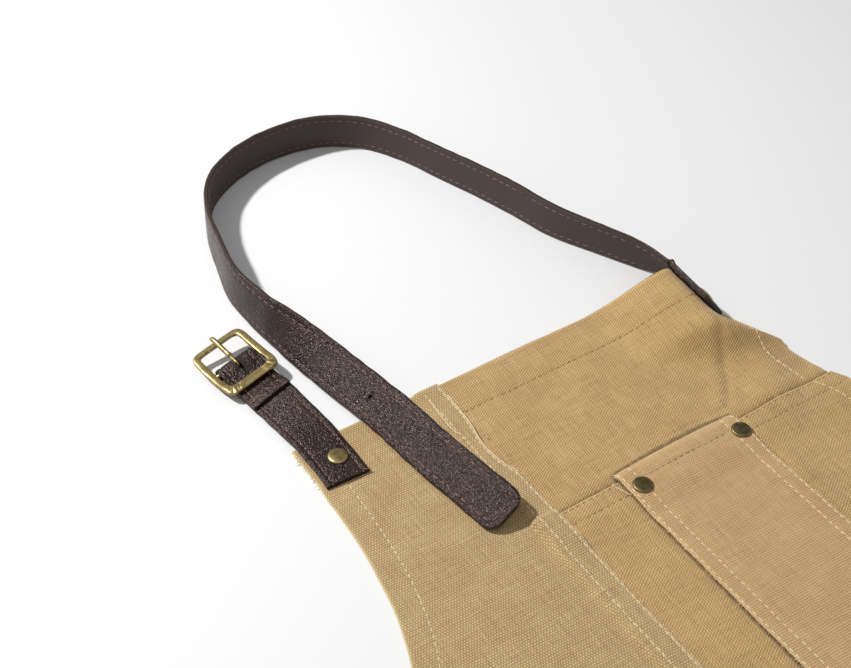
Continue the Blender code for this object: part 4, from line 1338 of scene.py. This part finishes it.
def make_buckle_frame():
    place = np.array(buckle_place())
    count, sides = 260, 20
    angle = 2 * math.pi * (np.arange(count) + 0.5) / count
    outer = np.stack(rounded(angle, FRAME_WIDTH / 2, -FRAME_HEEL, FRAME_TOE, 8.5), -1)
    inner_half = FRAME_WIDTH / 2 - SIDE_BAR
    inner = np.stack(rounded(angle, inner_half, -FRAME_HEEL + HEEL_BAR, FRAME_TOE - TOE_BAR, 10.0), -1)
    bow = 0.0006 * (1 - (outer[:, 1] / FRAME_TOE) ** 2)
    outer[:, 0] += np.sign(outer[:, 0]) * bow
    around = 2 * math.pi * np.arange(sides) / sides
    share = 0.5 + 0.5 * np.sign(np.cos(around)) * np.abs(np.cos(around)) ** 0.50
    level = 0.5 * np.sign(np.sin(around)) * np.abs(np.sin(around)) ** 0.36
    xy = inner[:, None] + (outer - inner)[:, None] * share[None, :, None]
    arch = CENTRE_BAR_DROP * smooth(np.abs(xy[..., 1]) / (FRAME_HEEL - HEEL_BAR))
    z = arch + level[None] * FRAME_THICK
    heel = smooth((-xy[..., 1] - FRAME_HEEL + HEEL_BAR + 0.0012) / 0.0012)
    top = np.clip(level, 0, 1)[None] * 2
    dents = noise(xy[..., 0] / 0.0013, xy[..., 1] / 0.0013, 61)
    z = z + heel * top * (0.00030 * dents - 0.00012 * (1 - ridge(share[None] - 0.5, 0.42)))
    local = np.concatenate([xy, z[..., None], np.ones(z.shape + (1,))], -1)
    points = local @ place.T
    index = np.arange(count * sides).reshape(count, sides)
    a, b = index, np.roll(index, -1, axis=0)
    faces = np.stack([a, b, np.roll(b, -1, 1), np.roll(a, -1, 1)], -1).reshape(-1, 4).tolist()
    wear = np.clip(np.abs(share - 0.5) * 2, 0, 1)[None] * np.clip(level * 2, 0, 1)[None]
    wear = np.broadcast_to(wear, z.shape) * 0.9
    make_piece("buckle_frame_brass", points[..., :3], faces, BRASS, "brass", {"wear": wear.ravel()},
               "buckle_frame", "buckle_frame")
    reach = FRAME_WIDTH / 2 - 0.0008
    profile = [(0.0002, -reach), (0.0009, -reach), (CENTRE_BAR_RADIUS, -reach + 0.0005)]
    profile += [(r, -z) for r, z in profile[::-1]]
    bar = buckle_place() @ Matrix.Rotation(math.pi / 2, 4, "Y")
    turned("buckle_centre_bar", profile, 24, BRASS, [0.2] * len(profile), bar, body="buckle_frame")


PRONG_SHAPE = (
    # way from the centre bar to the toe bar, rise over the frame, thickness in prong radii
    (0.10, 0.08, 1.10),
    (0.22, 0.25, 1.30),
    (0.28, 0.34, 1.75),
    (0.34, 0.44, 1.75),
    (0.40, 0.54, 1.40),
    (0.60, 0.84, 1.45),
    (0.80, 1.20, 1.45),
    (1.0, 1.40, 1.45),
)
PRONG_TIP = (
    # past the toe bar, height in prong radii, thickness in prong radii
    (1.0, 0.40, 1.45),
    (1.7, 0.05, 1.00),
    (2.1, -0.1, 0.40),
)


def make_prong():
    """The prong's loop round the centre bar, its shaft, and its tip over the toe bar."""
    place = np.array(buckle_place())
    loop = CENTRE_BAR_RADIUS + PRONG_PLAY + PRONG_RADIUS
    over_toe = CENTRE_BAR_DROP + FRAME_THICK / 2 + GAP + PRONG_RADIUS
    toe_middle = FRAME_TOE - TOE_BAR / 2
    path = []
    for step in range(13):
        angle = math.radians(-35 - 235 * step / 12)
        path.append((loop * math.cos(angle), loop * math.sin(angle), 1.0))
    for way, rise, thick in PRONG_SHAPE:
        path.append((toe_middle * way, loop + (over_toe - loop) * rise, thick))
    for past, above, thick in PRONG_TIP:
        path.append((FRAME_TOE + PRONG_PAST_TOE * past, over_toe + PRONG_RADIUS * above, thick))
    fine = curve_through(path, 5)
    local = np.stack([np.zeros(len(fine)), fine[:, 0], fine[:, 1], np.ones(len(fine))], -1)
    line = (local @ place.T)[:, :3]
    points, faces = tubes(line[None], PRONG_RADIUS * fine[:, 2], 14)
    wear = np.clip(points[:, 2] / 0.012, 0, 1) * 0.6
    return make_piece("buckle_prong_brass", points, faces, BRASS, "brass", {"wear": wear},
                      "buckle_prong", "buckle_prong")


# Build the pieces

yoke = make_yoke()
front = make_front()
side = make_side()
pocket = make_pocket()
ties = [make_tie("left", -1), make_tie("right", 1)]
strap_band = make_strap()
tab_band = make_tab()
make_buckle_frame()
make_prong()

on_yoke = on(yoke_under, yoke_thick)
on_front = on(front_under, front_thick)
on_side = on(side_under, side_thick)
on_pocket = on(pocket_under, pocket_thick)


def edge_line(sign, top, bottom, inside):
    vs = np.linspace(top, bottom, 240)
    edge = right_edge(vs) if sign > 0 else half_width(vs)
    return np.stack([sign * (edge - inside), vs], -1)


def level_line(v, start, end):
    us = np.linspace(start, end, 60)
    return np.stack([us, np.full(60, v)], -1)


def upright_line(u, top, bottom):
    vs = np.linspace(top, bottom, 200)
    return np.stack([np.full(200, u), vs], -1)


hem_right = half_width(BIB_HEIGHT - HEM_TOP) - ROW_END
yoke_right = half_width(YOKE_SEAM) - ROW_END
front_left = -SIDE_SEAM + 0.001
top_end = BIB_HEIGHT - 2 * ROW_END
bottom_end = -SKIRT_LENGTH + ROW_END
bottom_row = -SKIRT_LENGTH + HEM_TOP
seam_row = upright_line(0.0, top_end, bottom_end)
seam_row[:, 0] = seam_edge(seam_row[:, 1]) - SEAM_ROW
pocket_lines = [upright_line(u, POCKET_TOP - 0.001, POCKET_BOTTOM + 0.001) for u in POCKET_SIDE_ROWS]
pocket_lines += [level_line(POCKET_BOTTOM + inside, POCKET_LEFT + 0.001, POCKET_RIGHT - 0.001)
                 for inside in (POCKET_ROW, POCKET_SECOND_ROW)]
stitch_rows = (
    # panel, name, place, thread, slot, seed, lines
    ("yoke", "yoke_hem_stitches", on_yoke, TAN_THREAD, "twill", 2,
     [level_line(BIB_HEIGHT - HEM_TOP, front_left, hem_right)]),
    ("yoke", "yoke_side_stitches", on_yoke, PALE_THREAD, "twill", 3,
     [edge_line(1, BIB_HEIGHT - STRAP_SEAT - 0.003, YOKE_SEAM + 0.001, HEM_SIDE)]),
    ("front", "yoke_seam_stitches", on_front, TAN_THREAD, "twill", 4,
     [level_line(YOKE_SEAM - row, front_left, yoke_right) for row in (SEAM_ROW, YOKE_SECOND_ROW)]),
    ("front", "front_side_stitches", on_front, PALE_THREAD, "twill", 5,
     [edge_line(1, YOKE_SEAM - 0.001, bottom_end, HEM_SIDE),
      level_line(bottom_row, front_left, APRON_WIDTH / 2 - ROW_END)]),
    ("side", "side_seam_stitches", on_side, PALE_THREAD, "duck", 6,
     [seam_row, upright_line(-SIDE_SEAM - SEAM_SECOND_ROW, top_end, bottom_end)]),
    ("side", "side_edge_stitches", on_side, PALE_THREAD, "duck", 7,
     [edge_line(-1, top_end, bottom_end, HEM_SIDE),
      level_line(bottom_row, -APRON_WIDTH / 2 + ROW_END, -SIDE_SEAM - 0.001)]),
    ("pocket", "pocket_side_stitches", on_pocket, PALE_THREAD, "pocket_cloth", 8, pocket_lines),
    ("pocket", "pocket_hem_stitches", on_pocket, TAN_THREAD, "pocket_cloth", 9,
     [level_line(POCKET_TOP - POCKET_HEM, POCKET_LEFT + 0.014, POCKET_RIGHT - 0.010)]),
)
stitch_sets = {"yoke": [], "front": [], "side": [], "pocket": []}
for panel, name, place, thread, slot, seed, lines in stitch_rows:
    stitch_sets[panel].append(stitches(name, place, lines, thread, slot, seed=seed))


def strap_face(sign):
    """Places points over the strap's grain face for 1, and over its back for -1."""
    def place(along, across, height):
        bulge = STRAP_PUFF * (1 - np.clip(np.abs(across) / (STRAP_WIDTH / 2 * 0.98), 0, 1) ** 6)
        return strap_band.point(along, across, sign * (STRAP_LEATHER / 2 + bulge - 0.00030 + height))
    return place


def tab_face(sign):
    """Places points over the tab's upper face for -1, and over its folded-back end for 1."""
    def place(along, across, height):
        return tab_band.point(along, across, sign * (TAB_LEATHER / 2 + height - 0.00016))
    return place


on_tab, on_fold = tab_face(-1), tab_face(1)
for name, sign, seed in (("strap_stitches", 1, 10), ("strap_back_stitches", -1, 11)):
    stitches(name, strap_face(sign), strap_rows(strap_band), BROWN_THREAD, "leather", STRAP_PITCH,
             STRAP_STITCH, STRAP_THREAD, seed)

tab_side = TAB_WIDTH / 2 - TAB_ROW
tab_turn = tab_band.length - TAB_FOLD_BACK
tab_lines = [[(0.003, across), (tab_turn - 0.036, across)] for across in (-tab_side, tab_side)]
tab_lines += [[(along, -tab_side), (along, tab_side)] for along in (0.0034, 0.0235)]
stitches("tab_stitches", on_tab, tab_lines, BROWN_THREAD, "leather", 0.0036, 0.0026, 0.00028, 12)
fold_lines = [[(tab_turn + 0.001, across), (tab_band.length - 0.0015, across)]
              for across in (-tab_side, tab_side)]
fold_lines += [[(tab_band.length - inside, -tab_side - 0.002),
                (tab_band.length - inside - 0.0012, tab_side + 0.002)]
               for inside in (0.0020, 0.0046, 0.0056)]
stitches("tab_fold_stitches", on_fold, fold_lines, BROWN_THREAD, "leather", 0.0034, 0.0027,
         STRAP_THREAD, 15, 0.0004)

# Frayed edges and loose threads

def hairs(name, place, spots, material, slot, thread, seed, rise=0.0006):
    """Short bent thread ends, each from u and v in mm, a heading in degrees and a length in mm."""
    rng = np.random.default_rng(seed)
    paths = []
    for u, v, heading, length in spots:
        turn = np.linspace(0.0, rng.uniform(-1.3, 1.3), 4) + math.radians(heading)
        reach = length * np.array([0.0, 1.0, 1.0, 1.0]) / 3000
        us = u / 1000 + np.cumsum(reach * np.cos(turn))
        vs = v / 1000 + np.cumsum(reach * np.sin(turn))
        heights = rise * rng.uniform(0.2, 1.0) * np.sin(np.linspace(0.0, 2.4, 4))
        paths.append(place(us, vs, heights))
    points, faces = tubes(np.array(paths), thread * np.array([1.0, 1.0, 0.8, 0.4]), 4)
    return make_piece(name, points, faces, material, slot)


def fringe(u_of, top, bottom, heading, seed, spacing=1.37, longest=1.1):
    """Spots for thread ends all along an upright edge, in mm."""
    rng = np.random.default_rng(seed)
    spots = []
    for v in np.arange(bottom, top, spacing):
        if rng.uniform() < 0.8:
            inside = rng.uniform(0.3, 0.7)
            length = 0.5 + longest * rng.uniform() ** 2
            u = u_of(v / 1000) * 1000 - inside * math.cos(math.radians(heading))
            spots.append((u, v + rng.uniform(-0.3, 0.3), heading + rng.uniform(-35, 35), length + inside))
    return spots


def inside_cloth(place):
    """As place, but at half the depth of the cloth."""
    def sunk(u, v, h):
        return place(u, v, h - 0.0004)
    return sunk


stitch_sets["pocket"].append(hairs(
    "pocket_edge_hairs", inside_cloth(on_pocket),
    fringe(lambda v: POCKET_LEFT, POCKET_TOP * 1000 - 2, POCKET_BOTTOM * 1000 + 2, 180, 81)
    + fringe(lambda v: POCKET_RIGHT, POCKET_TOP * 1000 - 2, POCKET_BOTTOM * 1000 + 2, 0, 82, 1.6, 0.6)
    + [(-6.4, 164.6, 150, 2.4), (-6.2, 163.0, 175, 3.0), (-6.6, 160.8, 200, 2.2),
       (71.2, 164.4, 60, 1.8), (71.4, 163.0, 20, 1.6)],
    PALE_THREAD, "pocket_cloth", HAIR, 83))
stitch_sets["side"].append(hairs(
    "side_seam_hairs", inside_cloth(on_side),
    fringe(lambda v: -SIDE_SEAM, BIB_HEIGHT * 1000 - 3, -SKIRT_LENGTH * 1000 + 3, 0, 84, 1.9, 0.5),
    PALE_THREAD, "duck", HAIR, 85))
stitch_sets["side"].append(hairs(
    "side_corner_hairs", inside_cloth(on_side),
    [(-132.0, 269.4, 130, 2.6), (-133.0, 268.6, 170, 3.4), (-133.2, 266.8, 215, 4.2),
     (-133.4, 265.0, 185, 2.6), (-133.6, 263.0, 230, 4.6), (-133.6, 261.4, 195, 3.0),
     (-133.7, 259.4, 240, 3.8), (-133.8, 257.2, 180, 2.8), (-133.8, 254.8, 215, 3.6),
     (-133.9, 252.0, 200, 2.4), (-134.0, 249.4, 235, 3.4), (-134.1, 246.0, 190, 2.6),
     (-134.2, 242.4, 220, 2.8), (-134.4, 238.0, 200, 1.8)],
    PALE_THREAD, "duck", 0.00026, 88))


def thread_path(place, points, height):
    """A loose thread over u and v in mm."""
    us, vs = np.array(points).T / 1000
    lifts = height * (1.0 + 0.6 * np.sin(np.arange(len(us)) * 1.9))
    return place(us, vs, lifts)


seam_thread = [(-44.4, 259.0), (-44.9, 257.1), (-45.3, 247.0), (-46.3, 234.2), (-49.0, 223.1),
               (-49.5, 213.3), (-48.2, 201.8), (-45.9, 196.2), (-45.4, 193.0)]
second_thread = [(-55.2, 262.0), (-56.5, 252.2), (-56.9, 246.0), (-57.2, 238.7), (-56.6, 232.0)]
stitch_sets["side"].append(strands(
    "seam_loose_threads",
    [thread_path(on_side, [(min(u, seam_edge(v / 1000) * 1000 - 0.5), v) for u, v in seam_thread],
                 0.00045),
     thread_path(on_side, second_thread, 0.0003)],
    PALE_THREAD, "duck", 0.00027))
corner_thread = [(-7.4, 150.0), (-8.8, 151.3), (-10.5, 156.3), (-11.8, 161.9), (-10.6, 163.4)]
stitch_sets["front"].append(strands(
    "pocket_corner_thread",
    [thread_path(on_front, [(u, min(v, 160.0)) for u, v in corner_thread], 0.0006)],
    PALE_THREAD, "twill", 0.00024))

fold_end = tab_band.length * 1000
tab_hairs = [(fold_end - 1.0, 8.6, 80, 2.2), (fold_end - 0.6, 9.4, 40, 2.8), (fold_end, 8.0, 10, 2.0),
             (fold_end - 0.8, -9.0, -60, 2.4), (fold_end - 0.2, -8.4, -20, 1.8)]
hairs("tab_fold_hairs", on_fold, tab_hairs, BROWN_THREAD, "leather", 0.00022, 86, 0.001)
end_hairs = [(1.6, tab_side * 1000 + 1.0, 120, 2.2), (1.2, tab_side * 1000 + 2.0, 150, 2.8),
             (1.0, tab_side * 1000, 175, 1.8), (0.8, -tab_side * 1000, 190, 1.4)]
hairs("tab_end_hairs", on_tab, end_hairs, BROWN_THREAD, "leather", 0.00022, 87, 0.0006)

# Rivets

spots = (
    ("left", POCKET_LEFT + POCKET_RIVET_INSET, POCKET_RIVET_BELOW_TOP),
    ("right", POCKET_RIGHT - POCKET_RIVET_INSET * 0.65, POCKET_RIVET_BELOW_TOP * 0.9),
)
for name, u, below in spots:
    u = np.array([u])
    v = np.array([POCKET_TOP - below])
    seat = on_pocket(u, v, np.array([-0.0001]))[0]
    normal = unit(on_pocket(u, v, np.array([0.001]))[0] - seat)
    make_rivet(f"pocket_rivet_cap_{name}", seat, normal, 0.002, DARK_BRASS, f"pocket_rivet_{name}")

seat_rows = strap_seat_rows()
first = np.array(seat_rows[0][:3])
along = unit(np.array(seat_rows[1][:3]) - first)
normal = unit(np.cross(along, np.array(seat_rows[0][3:])))
make_rivet("strap_rivet_cap", first + along * STRAP_RIVET_FROM_END + normal * STRAP_LEATHER / 2,
           normal, STRAP_LEATHER + STRAP_STANDS_OFF + CANVAS, BRASS, "strap_rivet")

along, across, lift, _ = TAB_ROUTE[1]
tab_top = lift * BUCKLE_LIFT + TAB_LEATHER / 2
seat = (-BIB_TOP_WIDTH / 2 + across * TAB_WIDTH + TAB_RIVET_ASIDE,
        BIB_HEIGHT + along * BUCKLE_REACH, tab_top)
make_rivet("tab_rivet_cap", seat, (0.0, 0.0, 1.0), tab_top - GAP, BRASS, "tab_rivet")

for (item, on_tie, middle), name, seed in zip(ties, ("left", "right"), (13, 14)):
    start = -TIE_BELOW_WAIST - ROW_END
    end = -TIE_BELOW_WAIST - TIE_LENGTH + ROW_END
    edge = TIE_WIDTH / 2 - TIE_ROW
    lines = [upright_line(middle - edge, start, end), upright_line(middle + edge, start, end)]
    rows = [stitches(f"tie_stitches_{name}", on_tie, lines, PALE_THREAD, "twill", seed=seed)]
    u = np.array([middle])
    v = np.array([-TIE_BELOW_WAIST - TIE_RIVET_BELOW_END])
    seat = on_tie(u, v, np.array([-0.0001]))[0]
    make_rivet(f"waist_rivet_cap_{name}", seat, (0.0, 0.0, 1.0), 0.0022, DARK_BRASS,
               f"waist_rivet_{name}")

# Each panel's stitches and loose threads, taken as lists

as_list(stitch_sets["yoke"])
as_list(stitch_sets["front"])
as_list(stitch_sets["side"])
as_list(stitch_sets["pocket"])

# Floor, light and camera

FLOOR_HALF = 6.0
FLOOR_LEVEL = -0.0002
LIGHT_TARGET = Vector((0.0, 0.28, 0.0))
CAMERA_PLACE = (-0.3484, -0.1847, 0.5404)
CAMERA_TURN = (47.447, 0.0, -33.087)
LENS_MM = 60.0
SENSOR_MM = 36.0

floor_mesh = bpy.data.meshes.new("floor")
corners = [(x * FLOOR_HALF, y * FLOOR_HALF, FLOOR_LEVEL) for x, y in ((-1, -1), (1, -1), (1, 1), (-1, 1))]
floor_mesh.from_pydata(corners, [], [(0, 1, 2, 3)])
floor = add_object("floor", floor_mesh)
paper = Shader("floor_paper", Roughness=0.85, Base_Color=rgb(0.90, 0.90, 0.90), Specular_IOR_Level=0.2)
floor_mesh.materials.append(paper.material)


def area_light(name, direction, distance, size, watts):
    lamp = bpy.data.lights.new(name, "AREA")
    lamp.shape = "DISK"
    lamp.size = size
    lamp.energy = watts
    item = add_object(name, lamp)
    direction = Vector(direction).normalized()
    item.location = LIGHT_TARGET + direction * distance
    item.rotation_euler = direction.to_track_quat("Z", "Y").to_euler()


area_light("key", (-0.466, 0.451, 0.761), 1.7, 0.13, 26.0)
area_light("fill", (-0.1, -0.5, 1.0), 2.4, 1.6, 3.0)

world = bpy.data.worlds.new("studio")
bpy.context.scene.world = world
world.use_nodes = True
background = world.node_tree.nodes["Background"].inputs
background["Color"].default_value = rgb(1.0, 1.0, 1.0)
background["Strength"].default_value = 0.30
bpy.context.scene.view_settings.view_transform = "Standard"

lens = bpy.data.cameras.new("photo_camera")
lens.lens = LENS_MM
lens.sensor_width = SENSOR_MM
camera = add_object("photo_camera", lens)
camera.location = CAMERA_PLACE
camera.rotation_euler = [math.radians(turn) for turn in CAMERA_TURN]
bpy.context.scene.camera = camera

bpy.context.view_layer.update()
